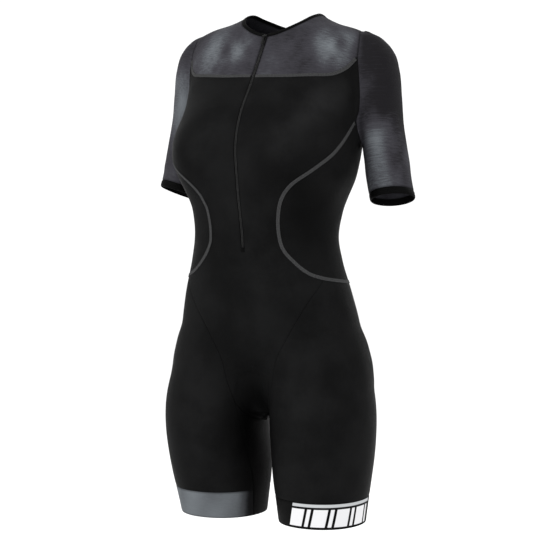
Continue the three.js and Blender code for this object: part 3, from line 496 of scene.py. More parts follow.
# Soft folds of the worn cloth: both ends, how wide the fold is, how high, and 1 for a ridge or
# -1 for a hollow. Each is a soft ridge beside two shallow hollows that fades out at its ends.
folds = np.array([
    [150, -60, -190, 84, -172, -214, 10, 0.9, 1], [148, -74, -204, 70, -170, -252, 9, 0.8, 1],
    [-150, -60, -190, -96, -168, -214, 10, 0.9, 1], [-148, -74, -204, -80, -170, -256, 9, 0.7, 1],
    [40, -165, -300, 98, -150, -322, 10, 0.7, 1], [-40, -165, -300, -98, -150, -326, 10, 0.7, 1],
    [20, -158, -372, 110, -126, -392, 9, 0.8, 1], [-24, -158, -378, -112, -126, -398, 9, 0.8, 1],
    [8, -152, -420, 100, -136, -452, 10, 0.7, 1], [-10, -152, -424, -102, -136, -448, 10, 0.7, 1],
    [120, -100, -560, 34, -140, -600, 12, 1.0, 1], [-120, -100, -560, -34, -140, -604, 12, 1.0, 1],
    [128, -96, -600, 40, -130, -628, 10, 0.8, 1], [-128, -96, -602, -42, -130, -626, 10, 0.8, 1],
    [60, -150, -650, 120, -128, -690, 14, 0.7, 1], [-60, -150, -650, -120, -128, -694, 14, 0.7, 1],
    [160, -40, -110, 190, -44, -190, 10, 0.9, 1], [-160, -40, -110, -190, -44, -192, 10, 0.9, 1],
    [164, -46, -160, 214, -40, -214, 9, 0.8, 1], [-164, -46, -162, -214, -40, -216, 9, 0.8, 1],
    [176, -50, -236, 226, -30, -252, 9, 0.8, 1], [-176, -50, -236, -226, -30, -256, 9, 0.8, 1],
    [70, 60, -260, 96, 40, -330, 12, 0.8, 1], [-70, 60, -260, -96, 40, -334, 12, 0.8, 1],
    [10, 20, -372, 90, 16, -384, 10, 1.0, 1], [-10, 20, -372, -90, 16, -388, 10, 1.0, 1],
    [20, 56, -560, 90, 40, -600, 13, 0.9, 1], [-20, 56, -560, -90, 40, -604, 13, 0.9, 1],
    [-33, -126, -626, -27, -127, -586, 5, 1.1, 1], [-30, -127, -592, 2, -125, -578, 5, 1.0, 1],
    [-4, -125, -578, 33, -129, -592, 5, 1.0, 1], [34, -130, -590, 22, -109, -640, 6, 1.3, -1],
])


# For each fold, t runs along it from 0 to 1 and off is how many widths away a point is. The
# height is (1 - 1.2 off squared) times a bell of off, times a sine of t that fades at the ends.
def foldHeight(p):
    height = np.zeros(p.shape[:-1])
    for x0, y0, z0, x1, y1, z1, wide, high, way in folds:
        a, b = np.array([x0, y0, z0]), np.array([x1, y1, z1])
        t = np.clip(((p - a) @ (b - a)) / ((b - a) @ (b - a)), 0, 1)
        off = np.linalg.norm(p - a - t[..., None] * (b - a), axis=-1) / wide
        fade = np.sin(np.pi * (0.06 + 0.88 * t)) ** 0.8
        height += way * high * (1 - 1.2 * off**2) * np.exp(-off**2) * fade
    return height


# Slow unevenness of stretched knit: waves along eleven fixed slanting ways, added together.
def unevenness(p, long, seed):
    ways = np.random.default_rng(seed).normal(size=(11, 4))
    turning = 2 * math.pi / long / np.linalg.norm(ways[:, :3], axis=1)
    return np.sin(p @ ways[:, :3].T * turning + ways[:, 3] * 3).sum(-1) / len(ways)


# The inner back of both thighs is a little fuller than the plain figure: a bell of its height, with
# its middle and its width across from the suit's middle, front to back and down.
thighBump = {"high": 7.0, "middle": (26, -10, -758), "wide": (18, 45, 65)}


def thighHeight(p):
    off = (p * [0, 1, 1] + np.abs(p) * [1, 0, 0] - thighBump["middle"]) / thighBump["wide"]
    return thighBump["high"] * np.exp(-(off**2).sum(-1))


# Height of the worn cloth above the figure, in mm: folds, fuller thighs, and long and short
# unevenness added together.
def wornHeight(p):
    return foldHeight(p) + thighHeight(p) + 0.5 * unevenness(p, 95, 3) + 0.16 * unevenness(p, 31, 8)


# Arc lengths along a grid's rows or columns, in mm.
def arcLengths(at, axis):
    steps = np.linalg.norm(np.diff(at, axis=axis), axis=-1)
    return np.concatenate([np.zeros_like(np.take(steps, [0], axis)), np.cumsum(steps, axis)], axis)


def setValues(mesh, label, numbers):  # one number for each corner, which a material reads
    attribute = mesh.attributes.new(label, "FLOAT", "POINT")
    attribute.data.foreach_set("value", np.asarray(numbers, np.float32))


# Puts a mesh into the scene from corner places in mm and the corners of each face.
def putMesh(name, points, faces, uv=None):
    mesh = bpy.data.meshes.new(name)
    mesh.from_pydata((points * 0.001).tolist(), [], faces)
    if uv is not None:
        mesh.uv_layers.new(name="weave").data.foreach_set("uv", uv.astype(np.float32).ravel())
    mesh.shade_smooth()
    mesh.set_sharp_from_angle(angle=math.radians(50))
    made = bpy.data.objects.new(name, mesh)
    bpy.context.scene.collection.objects.link(made)
    return made


# How far each corner of a grid is from its nearest edge along the cloth, in mm. A ring has only
# its two ends, and edges is the distance to an edge inside the grid.
def toEdge(at, ring, edges=None):
    down = arcLengths(at, 0)
    nearest = np.minimum(down, down[-1] - down)
    if not ring:
        across = arcLengths(at, 1)
        nearest = np.minimum(nearest, np.minimum(across, across[:, -1:] - across))
    return nearest if edges is None else np.minimum(nearest, edges)


overMap = {"radius": 105, "below": 120}  # the line that the yoke's map goes round, in mm


# One closed wall from a grid: its outer face, its inner face, and a wall round every edge of
# the kept cells. outer and inner are the heights of the two faces, in mm. The map is in metres
# along the rows and columns, and edgeDistance is how far a corner is from an edge. lay says
# where the map's V starts: at the top, at the hem, or over the shoulders from front to back.
def closedWall(name, grid, outer, inner, ring=False, kept=None, edges=None, lap=0.25, lay="top"):
    rows, columns = grid.shape[:2]
    at, way = grid[..., :3], grid[..., 3:]
    closedAt = np.concatenate([at, at[:, :1]], 1) if ring else at
    across, down = arcLengths(closedAt, 1), arcLengths(closedAt, 0)
    nearest = toEdge(at, ring, edges)
    # The outside's edges are drawn in a little, as a seam's groove, and the inside's reach past
    # the seam, so that no light comes through between two pieces.
    pulls = [(0, 1, 0), (-1, -2, 0)] + ([] if ring else [(0, 1, 1), (-1, -2, 1)])

    def drawnIn(length):
        moved = at.copy()
        for edge, inside, axis in pulls:
            edge, inside = ((slice(None), edge), (slice(None), inside)) if axis else (edge, inside)
            step = at[inside] - at[edge]
            moved[edge] += step * length / np.linalg.norm(step, axis=-1, keepdims=True)
        return moved

    high, low = np.broadcast_to(outer, nearest.shape), np.broadcast_to(inner, nearest.shape)
    outerFace = tilted(drawnIn(lap) + way * high[..., None])
    innerFace = tilted(drawnIn(-0.6 * lap) + way * low[..., None])
    points = np.stack([outerFace, innerFace]).reshape(-1, 3)

    cellColumns = columns if ring else columns - 1
    kept = np.ones((rows - 1, cellColumns), bool) if kept is None else kept
    j, i = np.nonzero(kept)
    corners = lambda steps, layers: np.stack(
        [np.stack([0 * j + layer, j + dj, i + di], -1) for (dj, di), layer in zip(steps, layers)], 1)
    quads = [corners([(0, 0), (1, 0), (1, 1), (0, 1)], (0, 0, 0, 0)),
             corners([(0, 0), (0, 1), (1, 1), (1, 0)], (1, 1, 1, 1))]
    padded = np.pad(np.pad(kept, ((0, 0), (1, 1)), mode="wrap" if ring else "constant"), ((1, 1), (0, 0)))
    sides = [((0, -1), (0, 0), (1, 0)), ((1, 0), (1, 0), (1, 1)),
             ((0, 1), (1, 1), (0, 1)), ((-1, 0), (0, 1), (0, 0))]
    for (dj, di), a, b in sides:
        atEdge = ~padded[1 + j + dj, 1 + i + di]
        quads.append(corners([a, b, b, a], (1, 1, 0, 0))[atEdge])
    quads = np.concatenate(quads)
    index = (quads[..., 0] * rows + quads[..., 1]) * columns + quads[..., 2] % columns
    if lay == "over":  # U is straight across, and V goes round a level line inside the chest
        u = closedAt[..., 0]
        v = overMap["radius"] * np.arctan2(closedAt[..., 1], closedAt[..., 2] + overMap["below"])
    else:
        u, v = across, (down[-1] if lay == "hem" else 0) - down
    uv = np.stack([u[quads[..., 1], quads[..., 2]], v[quads[..., 1], quads[..., 2]]], -1) * 0.001
    used, index = np.unique(index, return_inverse=True)
    made = putMesh(name, points[used], index.reshape(-1, 4).tolist(), uv)
    setValues(made.data, "edgeDistance", np.tile(nearest.ravel(), 2)[used] * 0.001)
    return made


pieces = {}


# A finished piece stands for its node. Its cut, the width, length and area of its cloth, is not used.
def dressed(piece, node, slot, cut=None, body="suit"):
    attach(piece, body)
    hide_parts(node)
    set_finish(piece, slot)
    pieces[piece.name] = piece
    return piece


def measured(grid, ring):  # longest row, longest column and area, in metres, for the cut
    at = np.concatenate([grid, grid[:, :1]], 1)[..., :3] if ring else grid[..., :3]
    a, b = at[1:, 1:] - at[:-1, :-1], at[1:, :-1] - at[:-1, 1:]
    area = np.linalg.norm(np.cross(a, b), axis=-1).sum() / 2
    w, l = arcLengths(at, 1)[:, -1].max(), arcLengths(at, 0)[-1].max()
    return round(w / 1000, 3), round(l / 1000, 3), round(min(area, w * l) / 1e6, 4)


# A knitted panel: the worn height, less a soft dip beside its seams, and the cloth's thickness.
clothWall = {"thick": 1.5, "dip": 0.45, "dipWide": 1.6}


def knitPanel(name, node, slot, grid, ring=False, kept=None, edges=None, lay="top"):
    height = wornHeight(tilted(grid[..., :3]))
    dip = clothWall["dip"] * np.exp(-(toEdge(grid[..., :3], ring, edges) / clothWall["dipWide"]) ** 2)
    piece = closedWall(name, grid, height - dip, height - clothWall["thick"], ring, kept, edges, lay=lay)
    return dressed(piece, node, slot, measured(grid, ring))


knitPanel("yokeCloth", "yoke", "heather_knit", yokeGrid, lay="over")

# The front body is open at the zip: its slot is the middle cell of the upper rows.
frontGrid = wholeRow(frontHalf)
slotRows, slotColumn = zipCells * fine, 6 * fine
frontKept = np.ones((frontGrid.shape[0] - 1, frontGrid.shape[1] - 1), bool)
frontKept[:slotRows, slotColumn] = False
belowSlot = np.maximum(frontGrid[slotRows, slotColumn, 2] - frontGrid[..., 2], 0)
toSlot = np.hypot(np.maximum(np.abs(frontGrid[..., 0]) - halfSlot, 0), belowSlot)
knitPanel("frontBodyCloth", "front_body", "black_knit", frontGrid, kept=frontKept, edges=toSlot)
knitPanel("backBodyCloth", "back_body", "black_knit", wholeRow(backHalf)[:, ::-1])
bothSides = (("left", lambda grid: grid), ("right", mirrored))
for side, turn in bothSides:
    tail = side.capitalize()
    knitPanel("sidePanel" + tail, "side_panel_" + side, "black_knit", turn(sideGrid))
    knitPanel("legCloth" + tail, "leg_" + side, "black_knit", turn(legGrid), lay="hem")
    knitPanel("legGusset" + tail, "leg_gusset_" + side, "black_knit", turn(gussetGrid))
    bandSlot = "black_band" if side == "left" else "grey_band"
    knitPanel("legBand" + tail, "leg_band_" + side, bandSlot, turn(bandGrid))
    knitPanel("sleeveCloth" + tail, "sleeve_" + side, "heather_knit", turn(sleeveGrid), ring=True, lay="hem")
print("suit: panels made")

# Cuffs and neck binding: folded strips, fuller in the middle than at their rounded lips. Their
# outer height is the middle's less the lip times the fifth power of the place across.
binding = {"cuffHigh": 0.4, "neckHigh": 0.55, "lip": 1.1, "low": -1.7}


def stripHeights(grid, middle):
    v = np.linspace(-1, 1, grid.shape[0])[:, None]
    worn = wornHeight(tilted(grid[..., :3]))
    return worn + middle - binding["lip"] * np.abs(v) ** 5, worn + binding["low"]


for side, turn in bothSides:
    grid = turn(cuffRows)
    heights = stripHeights(grid, binding["cuffHigh"])
    piece = closedWall("cuff" + side.capitalize(), grid, *heights, ring=True)
    dressed(piece, "cuff_" + side, "binding_knit", measured(grid, True))
t = np.linspace(0, 1, 10)[:, None, None]
neckRows = neck[None, :, :3] * (1 - t) + yokeNeck[None, :, :3] * t
neckGrid = joinWhole(onSurface(settle(neckRows, "all", 4), "all"))
piece = closedWall("neckBinding", neckGrid, *stripHeights(neckGrid, binding["neckHigh"]))
dressed(piece, "neck_binding", "binding_knit")


# A line cut again at an even step, with how far along it each point is.
def evenLine(points, step):
    along = np.append(0, np.cumsum(np.linalg.norm(np.diff(points[:, :3], axis=0), axis=1)))
    s = np.linspace(0, along[-1], int(along[-1] / step) + 1)
    return s, np.stack([np.interp(s, along, column) for column in points.T], -1)


# A ribbon laid along a line: offsets square to the line's evened direction, each settled on the
# surface. trim is left off at the line's start and end.
def ribbonGrid(points, step, halfWide, columns, trim=(0, 0), smooth=9):
    s, line = evenLine(points, step)
    pick = (s >= trim[0]) & (s <= s[-1] - trim[1])
    way = np.pad(np.gradient(line[:, :3], axis=0), ((smooth // 2, smooth // 2), (0, 0)), mode="edge")
    kernel = np.ones(smooth) / smooth
    way = np.stack([np.convolve(column, kernel, "valid") for column in way.T], -1)
    side = np.cross(line[:, 3:], way)[pick]
    side /= np.linalg.norm(side, axis=1, keepdims=True)
    w = np.linspace(-halfWide, halfWide, columns)
    at = settle(line[pick][:, None, :3] + side[:, None] * w[None, :, None], "all", 4)
    return onSurface(at, "all"), s[pick][:, None], w[None, :]


# Flatlock covers: the crossing threads are slanted waves, with a cord ridge along both edges and
# a groove down the middle. Sizes are in mm, and skew is in pitches from the middle to an edge.
cover = {"halfWide": 2.8, "low": 0.1, "body": 0.62, "threads": 0.26, "pitch": 2.3, "skew": 0.9,
         "ridgeAt": 0.72, "ridgeWide": 0.16, "grooveWide": 0.12, "lip": 0.45, "step": 0.46, "columns": 13}


def flatlock(name, node, line, trim, turn):
    grid, s, w = ribbonGrid(line, cover["step"], cover["halfWide"], cover["columns"], trim)
    grid = turn(grid)
    part = np.abs(w) / cover["halfWide"]
    slanted = 0.5 + 0.5 * np.cos(2 * math.pi * (s / cover["pitch"] + cover["skew"] * part))
    ridge = np.exp(-((part - cover["ridgeAt"]) / cover["ridgeWide"]) ** 2)
    groove = np.exp(-(part / cover["grooveWide"]) ** 2)
    threads = slanted * (1 - groove) + 0.7 * ridge - 0.8 * groove
    height = cover["body"] + cover["threads"] * threads - cover["lip"] * part**8
    worn = wornHeight(tilted(grid[..., :3]))
    piece = closedWall(name, grid, worn + height, worn + cover["low"], lap=0)
    dressed(piece, node, "flatlock_tape")


sideLine = join(sideFront, sideFoot, sideBack[::-1])
for side, turn in bothSides:
    flatlock("yokeCover" + side.capitalize(), "yoke_cover_" + side, yokeFront, (1, 5), turn)
    flatlock("sideCover" + side.capitalize(), "side_cover_" + side, sideLine, (7, 7), turn)
print("suit: bindings and flatlock covers made")

# Zip: woven tape behind the cloth, with a thinner selvedge.
tape = {"halfWide": 9.4, "step": 2.0, "columns": 25, "face": -1.95, "back": -2.8, "selvedge": 8,
        "thinner": 0.05}
zipPoints = join(yokeZip, frontLine[:slotRows + 1]) * [0, 1, 1, 0, 1, 1]
tapeGrid, s, w = ribbonGrid(zipPoints, tape["step"], tape["halfWide"], tape["columns"], (1, 0))
worn = wornHeight(tilted(tapeGrid[..., :3]))
tapeFace = worn + tape["face"] - tape["thinner"] * (np.abs(w) > tape["selvedge"])
piece = closedWall("zipTape", tapeGrid, tapeFace, worn + tape["back"], lap=0)
dressed(piece, "zip_tape", "black_knit", measured(tapeGrid, False))


# Four-cornered faces between rings of corners, each ring with the next, and round to the first
# one again where they are closed.
def ringFaces(rings, count, closed=False):
    k, i = np.meshgrid(np.arange(rings if closed else rings - 1), np.arange(count), indexing="ij")
    beside, after = (i + 1) % count, (k + 1) % rings * count
    return np.stack([k * count + i, k * count + beside, after + beside, after + i], -1).reshape(-1, 4)


# Three-cornered faces from the first and the last ring to a middle point after all the rings.
def capFaces(rings, count):
    i = np.arange(count)
    beside, last = (i + 1) % count, (rings - 1) * count
    return np.concatenate([np.stack([beside, i, 0 * i + rings * count], -1),
                           np.stack([last + i, last + beside, 0 * i + rings * count + 1], -1)])


# Two rows of coil teeth in the slot. One tooth is a short bar of five oval sections that narrow
# at both ends, and the rows lean towards each other across the middle of the zip.
tooth = {"pitch": 1.5, "long": 1.9, "radius": 0.42, "tall": 1.15, "slant": 0.55, "start": 0.12,
         "depth": -0.75}


def coilTeeth():
    line = evenLine(zipPoints, tooth["pitch"])[1][1:-1]
    along = np.gradient(line[:, :3], axis=0)
    along /= np.linalg.norm(along, axis=1, keepdims=True)
    out = line[:, 3:] / np.linalg.norm(line[:, 3:], axis=1, keepdims=True)
    line = settle(line[:, :3], "all", 4)
    base = line + out * (wornHeight(tilted(line))[:, None] + tooth["depth"])
    rings, count = 5, 8
    t = np.linspace(0, 1, rings)
    turns = np.arange(count) * 2 * math.pi / count
    section = np.stack([0 * turns, np.cos(turns) * tooth["tall"], np.sin(turns)], -1)
    size = tooth["radius"] * np.sqrt(np.maximum(1 - (2 * t - 1) ** 4, 0.12))
    points, faces = [], []
    for side, shift in ((-1, 0), (1, 0.5)):
        centre = np.stack([side * (tooth["start"] + t * tooth["long"]),
                           (t - 0.5) * tooth["slant"] + shift * tooth["pitch"], 0 * t], -1)
        ends = centre[[0, -1]] + np.array([[-side], [side]]) * [tooth["start"], 0, 0]
        local = np.concatenate([(centre[:, None] + section[None] * size[:, None, None]).reshape(-1, 3), ends])
        placed = (base[:, None] + local[None, :, :1] * [1, 0, 0] + local[None, :, 1:2] * along[:, None]
                  + local[None, :, 2:] * out[:, None])
        start = sum(len(q) for q in points)
        firstCorner = np.arange(len(base))[:, None, None] * len(local) + start
        points.append(placed.reshape(-1, 3))
        for toothFaces in (ringFaces(rings, count), capFaces(rings, count)):
            turned = toothFaces[:, ::-1] if side > 0 else toothFaces
            faces += (turned[None] + firstCorner).reshape(-1, toothFaces.shape[1]).tolist()
    return tilted(np.concatenate(points)), faces


dressed(putMesh("zipTeeth", *coilTeeth()), "zip_teeth", "zip_teeth")

# The tack at the zip's foot: a bar of close stitches, from a little above its end to below it.
tack = {"above": 1.0, "below": -6.0, "halfWide": 3.0, "pitch": 0.9, "high": 1.0, "threads": 0.22,
        "lip": 0.6, "low": 0.15}
tackLine = frontLine[slotRows][:3] * [0, 1, 1] + np.array([[0, 0, tack["above"]], [0, 0, tack["below"]]])
tackLine = onSurface(settle(tackLine, "all"), "all")
tackGrid, s, w = ribbonGrid(tackLine, 0.25, tack["halfWide"], 19, smooth=3)
threads = 0.5 + 0.5 * np.cos(2 * math.pi * s / tack["pitch"])
worn = wornHeight(tilted(tackGrid[..., :3]))
tackFace = worn + tack["high"] + tack["threads"] * threads - tack["lip"] * np.abs(w / tack["halfWide"]) ** 8
dressed(closedWall("zipTack", tackGrid, tackFace, worn + tack["low"], lap=0), "zip_tack", "zip_teeth")
print("suit: zip made")


# A plate with a rounded rim from an outline in its own plane: the outline is drawn in and
# lifted along a quarter circle at both faces, and each face closes at its middle.
def roundedPlate(outline, thick, rim, place):
    middle = outline.mean(0)
    reach = np.linalg.norm(outline - middle, axis=1, keepdims=True)
    a = np.radians([90, 60, 30, 0])
    drawn, lifted = rim * (1 - np.cos(a)), rim * (1 - np.sin(a))
    inset = np.concatenate([drawn, drawn[::-1]])
    level = np.concatenate([-thick / 2 + lifted, thick / 2 - lifted[::-1]])
    rings = middle + (outline - middle)[None] * (1 - inset[:, None, None] / reach[None])
    flat = np.concatenate([rings, np.broadcast_to(level[:, None, None], rings.shape[:2] + (1,))], -1)
    points = np.concatenate([flat.reshape(-1, 3), [[*middle, -thick / 2], [*middle, thick / 2]]])
    faces = [ringFaces(len(level), len(outline)), capFaces(len(level), len(outline))]
    return place(points), faces[0].tolist() + faces[1].tolist()


def together(*solids):  # several solids as one mesh
    points, faces, start = [], [], 0
    for corners, sides in solids:
        points.append(corners)
        faces += [[c + start for c in side] for side in sides]
        start += len(corners)
    return np.concatenate(points), faces


# A superellipse outline whose half width changes evenly from its head to its foot.
def rounded(halfHead, halfFoot, head, foot, square=3.2, count=48):
    a = np.linspace(0, 2 * math.pi, count, endpoint=False)
    c, s = np.cos(a), np.sin(a)
    x, y = np.sign(c) * np.abs(c) ** (2 / square), np.sign(s) * np.abs(s) ** (2 / square)
    y = (head + foot) / 2 + y * (foot - head) / 2
    wide = halfHead + (halfFoot - halfHead) * (y - head) / (foot - head)
    return np.stack([x * wide, y], -1)


# The slider and its pull tab. A plate is its outline, its thickness, its rim's radius and how
# far its middle is from the cloth. All sizes are in mm, from the slider's middle.
slider = {
    "plates": [(rounded(4.0, 3.1, -5, 5), 1.6, 0.55, 1.8), (rounded(1.2, 1.0, -3, 3, 3, 32), 0.8, 0.2, 0.75),
               (rounded(1.5, 1.2, -3.6, 3.4, 2.6), 0.8, 0.3, 2.75)],
    "lug": (rounded(1.5, 1.5, 2.2, 5.3, 2.6, 32), 1.0, 0.3), "lugAcross": 2.9,
    "pinHigh": 4.1, "pinRadius": 0.6, "pinLong": 6.4, "pinRim": 0.2,
}
puller = {"head": 1.0, "foot": 15, "halfHead": 1.9, "halfFoot": 3.0, "thick": 1.4, "rim": 0.45,
          "waistAt": 6.2, "waistLong": 3.0, "waist": 0.34, "eye": (0.82, 1.4, 2.1), "eyeRim": 0.25}
sliderAt = settle(np.array([0.0, -77, -50]), "all")
sliderOut = outward(sliderAt, "all") * [0, 1, 1]
sliderOut /= np.linalg.norm(sliderOut)
sliderDown = np.array([0, -sliderOut[2], sliderOut[1]]) * (1 if sliderOut[1] < 0 else -1)


def onSlider(p):  # across, down the zip and away from the cloth, to the suit's own frame
    return sliderAt + p[:, :1] * np.array([-1.0, 0, 0]) + p[:, 1:2] * sliderDown + p[:, 2:] * sliderOut


def standing(x):  # a plate's own plane turned upright along the zip, at that place across
    return lambda p: onSlider(np.stack([x + p[:, 2], p[:, 0], p[:, 1]], -1))


def lying(z):  # a plate's own plane laid along the cloth, at that height
    return lambda p: onSlider(np.stack([p[:, 0], p[:, 1], z + p[:, 2]], -1))


pinTurns = np.radians(np.arange(24) * 15)
pin = np.stack([np.cos(pinTurns), np.sin(pinTurns)], -1) * slider["pinRadius"] + [0, slider["pinHigh"]]
plates = [roundedPlate(*plate, lying(high)) for *plate, high in slider["plates"]]
plates += [roundedPlate(*slider["lug"], standing(x)) for x in (-slider["lugAcross"], slider["lugAcross"])]
plates.append(roundedPlate(pin, slider["pinLong"], slider["pinRim"], standing(0)))
dressed(putMesh("zipSlider", *together(*plates)), "zip_slider", "zip_metal")


# The tab's eye is a sleeve round the pin: a ring section turned once, as a grid of turns.
def sleeveRound(inner, outer, half, rim):
    section = np.array([[-half, inner + rim], [-half + rim, inner], [half - rim, inner], [half, inner + rim],
                        [half, outer - rim], [half - rim, outer], [-half + rim, outer], [-half, outer - rim]])
    a = np.linspace(0, 2 * math.pi, 32, endpoint=False)[:, None]
    x, y = section[None, :, 0], section[None, :, 1]
    points = np.stack([x + 0 * a, np.cos(a) * y, np.sin(a) * y], -1).reshape(-1, 3)
    return onSlider(points + [0, 0, slider["pinHigh"]]), ringFaces(len(a), len(section), True).tolist()


def gripPlate():  # a tab that widens to a rounded grip, narrowed by a bell at its waist
    outline = rounded(puller["halfHead"], puller["halfFoot"], puller["head"], puller["foot"], 3.4, 72)
    waist = np.exp(-((outline[:, 1] - puller["waistAt"]) / puller["waistLong"]) ** 2)
    outline[:, 0] *= 1 - puller["waist"] * waist
    return roundedPlate(outline, puller["thick"], puller["rim"], lying(slider["pinHigh"]))


tab = putMesh("pullTab", *together(sleeveRound(*puller["eye"], puller["eyeRim"]), gripPlate()))
dressed(tab, "pull_tab", "zip_metal", body="pull_tab")
print("suit: slider and pull tab made")

# Seat pad: a crowned cushion of foam on the inside of the crotch, narrower to both ends, with
# two soft channels along it. Its outer face lies behind the cloth. r runs from its front end to
# its back end and c across it, both from -1 to 1, and it reads the body's rows where they are.
seatPad = {"face": -2.1, "rim": 0.5, "thick": 3.9, "ends": 2.6, "channelAt": 0.42, "channelWide": 0.07,
           "channelDeep": 0.22}
padRows = np.concatenate([frontHalf[22 * fine:], backHalf[21 * fine:28 * fine][::-1]])
padRows = wholeRow(padRows[:, :4 * fine + 1])
r = np.linspace(-1, 1, padRows.shape[0])[:, None]
c = np.linspace(-1, 1, 8 * fine + 1)[None, :]
halfRow = (padRows.shape[1] - 1) / 2
spot = halfRow + c * halfRow * np.maximum(1 - np.abs(r) ** seatPad["ends"], 0.03) ** 0.42
low = np.minimum(spot.astype(int), padRows.shape[1] - 2)
share = (spot - low)[..., None]
j = np.arange(padRows.shape[0])[:, None]
padGrid = padRows[j, low] * (1 - share) + padRows[j, low + 1] * share
crown = ((1 - np.abs(c) ** 4) * (1 - np.abs(r) ** 6)) ** 0.6
fromChannel = (np.abs(c) - seatPad["channelAt"] - 0.1 * r) / seatPad["channelWide"]
channels = np.exp(-fromChannel**2) * np.clip(1.2 - np.abs(r) * 1.3, 0, 1)
full = (seatPad["thick"] - seatPad["rim"]) * crown * (1 - seatPad["channelDeep"] * channels)
inner = seatPad["face"] - seatPad["rim"] - full
piece = closedWall("seatPad", padGrid, seatPad["face"] + 0 * crown, inner, lap=0)
dressed(piece, "seat_pad", "pad")
print("suit: seat pad made")


# Soft patches where the heather knit is lighter or darker, partly the print's own clouds and partly painted
# light and shade: painted shade along the near sleeve's top and outer side, and painted highlights low on
# the sleeves' fronts. Each patch has a place and width in mm, and how much.
cloudAndPaintedLightPatches = np.array([
    [-91, -76, -58, 27, 1.0], [-104, -88, -84, 20, 0.5], [-44, -92, -72, 18, 0.9],
    [-59, -100, -92, 14, -0.3], [-68, -84, -64, 11, -0.6], [-126, -54, -45, 20, -0.35],
    [-124, -80, -86, 18, 0.2], [20, -108, -102, 20, 0.4], [-14, -100, -84, 16, -0.15],
    [68, -87, -74, 22, -0.4], [108, -72, -66, 20, 1.0], [92, -68, -50, 16, 0.6],
    [140, -46, -55, 15, 1.1], [126, -60, -62, 9, -0.5], [138, -67, -91, 13, 0.4],
    [164, -28, -52, 28, -0.7], [174, -40, -80, 28, -0.7], [194, -34, -112, 28, -0.6],
    [188, -44, -154, 28, -0.55], [208, -19, -185, 26, -0.35], [216, -8, -130, 34, -0.6],
    [177, -52, -204, 18, 0.6], [190, -52, -246, 22, 1.0], [180, -50, -280, 20, 0.5],
    [219, -24, -248, 22, -0.35], [206, -46, -284, 16, 0.4], [-171, -52, -138, 30, 1.1],
    [-176, -43, -70, 24, -0.2], [-178, -50, -194, 26, 0.5], [-182, -50, -250, 28, -0.2],
    [0, 80, -70, 40, 0.6], [-80, 66, -84, 26, -0.4], [70, 70, -60, 22, 0.7],
    [104, 56, -92, 22, -0.3], [-172, 30, -150, 30, -0.4], [178, 28, -120, 26, 0.6],
    [184, 24, -190, 26, -0.4], [196, 22, -250, 24, 0.6], [-196, 10, -100, 26, 0.5],
    [-200, 16, -236, 24, 0.6],
])

# Painted light and shade on the black knit. Patches are painted lighter as highlights on the chest, flanks,
# thighs and seat, and darker as painted shade under the bust, at the belly's sides, at the crotch, on the
# inner thighs and at the small of the back: place and width in mm, and how much.
paintedLightPatches = np.array([
    [116, -121, -166, 20, 0.8], [100, -150, -185, 18, 0.55], [133, -91, -143, 15, 0.5],
    [85, -181, -226, 22, 0.4], [-57, -180, -211, 26, 0.35], [96, -160, -264, 24, -0.4],
    [-96, -160, -264, 24, -0.4], [102, -130, -340, 42, -0.55], [-102, -130, -340, 42, -0.35],
    [132, -70, -300, 18, 0.4], [0, -120, -622, 36, -0.65], [28, -90, -700, 34, -0.6],
    [-28, -90, -690, 36, -0.6], [24, -60, -780, 34, -0.55], [-24, -60, -780, 34, -0.5],
    [96, -150, -660, 26, 0.35], [-80, -148, -660, 28, 0.3], [-20, 90, -560, 40, -0.2],
    [0, 20, -360, 50, -0.3], [90, 60, -560, 36, 0.3], [-90, 60, -560, 36, 0.3],
])


def cornerPlaces(piece):  # in mm
    places = np.empty(len(piece.data.vertices) * 3, np.float32)
    piece.data.vertices.foreach_get("co", places)
    return places.reshape(-1, 3).astype(float) * 1000


def patchy(p, patches):  # round bumps added together, longer down than across
    total = np.zeros(len(p))
    for x, y, z, wide, more in patches:
        total += more * np.exp(-(((p - [x, y, z]) * [1, 0.7, 0.62]) ** 2).sum(-1) / wide**2)
    return total


# How light the heather is all over, how much it wanders over long and short distances, and how
# much the patches count, with their print clouds and painted light and shade. The band at the right
# hem fades away from its seam over this distance.
cloud = {"level": 0.34, "long": (0.24, 62, 21), "short": (0.12, 20, 5), "patches": 0.35}
bandCloud = {"level": 0.72, "long": (0.22, 50, 4), "fadeFrom": 3, "fadeOver": 30}


def wandering(p, share, long, seed):
    return share * unevenness(p, long, seed)


for name, piece in pieces.items():
    p = cornerPlaces(piece)
    if name.startswith(("frontBody", "backBody", "sidePanel", "legCloth", "legGusset")):
        # The black pieces' stretch values are painted highlights and painted shade, from the patches.
        setValues(piece.data, "stretch", patchy(p, paintedLightPatches))
    if name.startswith(("yokeCloth", "sleeveCloth")):
        level = cloud["level"] + wandering(p, *cloud["long"]) + wandering(p * [1, 1, 0.5], *cloud["short"])
        # The heather's cloud values hold the print's clouds and, through the patches, painted light and
        # shade.
        setValues(piece.data, "cloud", np.clip(level + cloud["patches"] * patchy(p, cloudAndPaintedLightPatches), 0, 1))
    if name == "legBandRight":
        fromSeam = np.linalg.norm((p - bandTop[0, :3] * [-1, 1, 1]) * [1, 1, 0], axis=1)
        fade = np.clip((fromSeam - bandCloud["fadeFrom"]) / bandCloud["fadeOver"], 0, 1)
        level = bandCloud["level"] + wandering(p, *bandCloud["long"])
        setValues(piece.data, "cloud", np.clip(fade * fade * (3 - 2 * fade) * level, 0, 1))


# Helpers for nodes: each makes one node in the tree and gives its output back. A term is a
# number, a colour or another node's output.
def addNode(tree, kind, **settings):
    made = tree.nodes.new("ShaderNode" + kind)
    for key, value in settings.items():
        setattr(made, key, value)
    return made


def feed(tree, value, socket):
    if isinstance(value, bpy.types.NodeSocket):
        tree.links.new(value, socket)
    else:
        socket.default_value = value


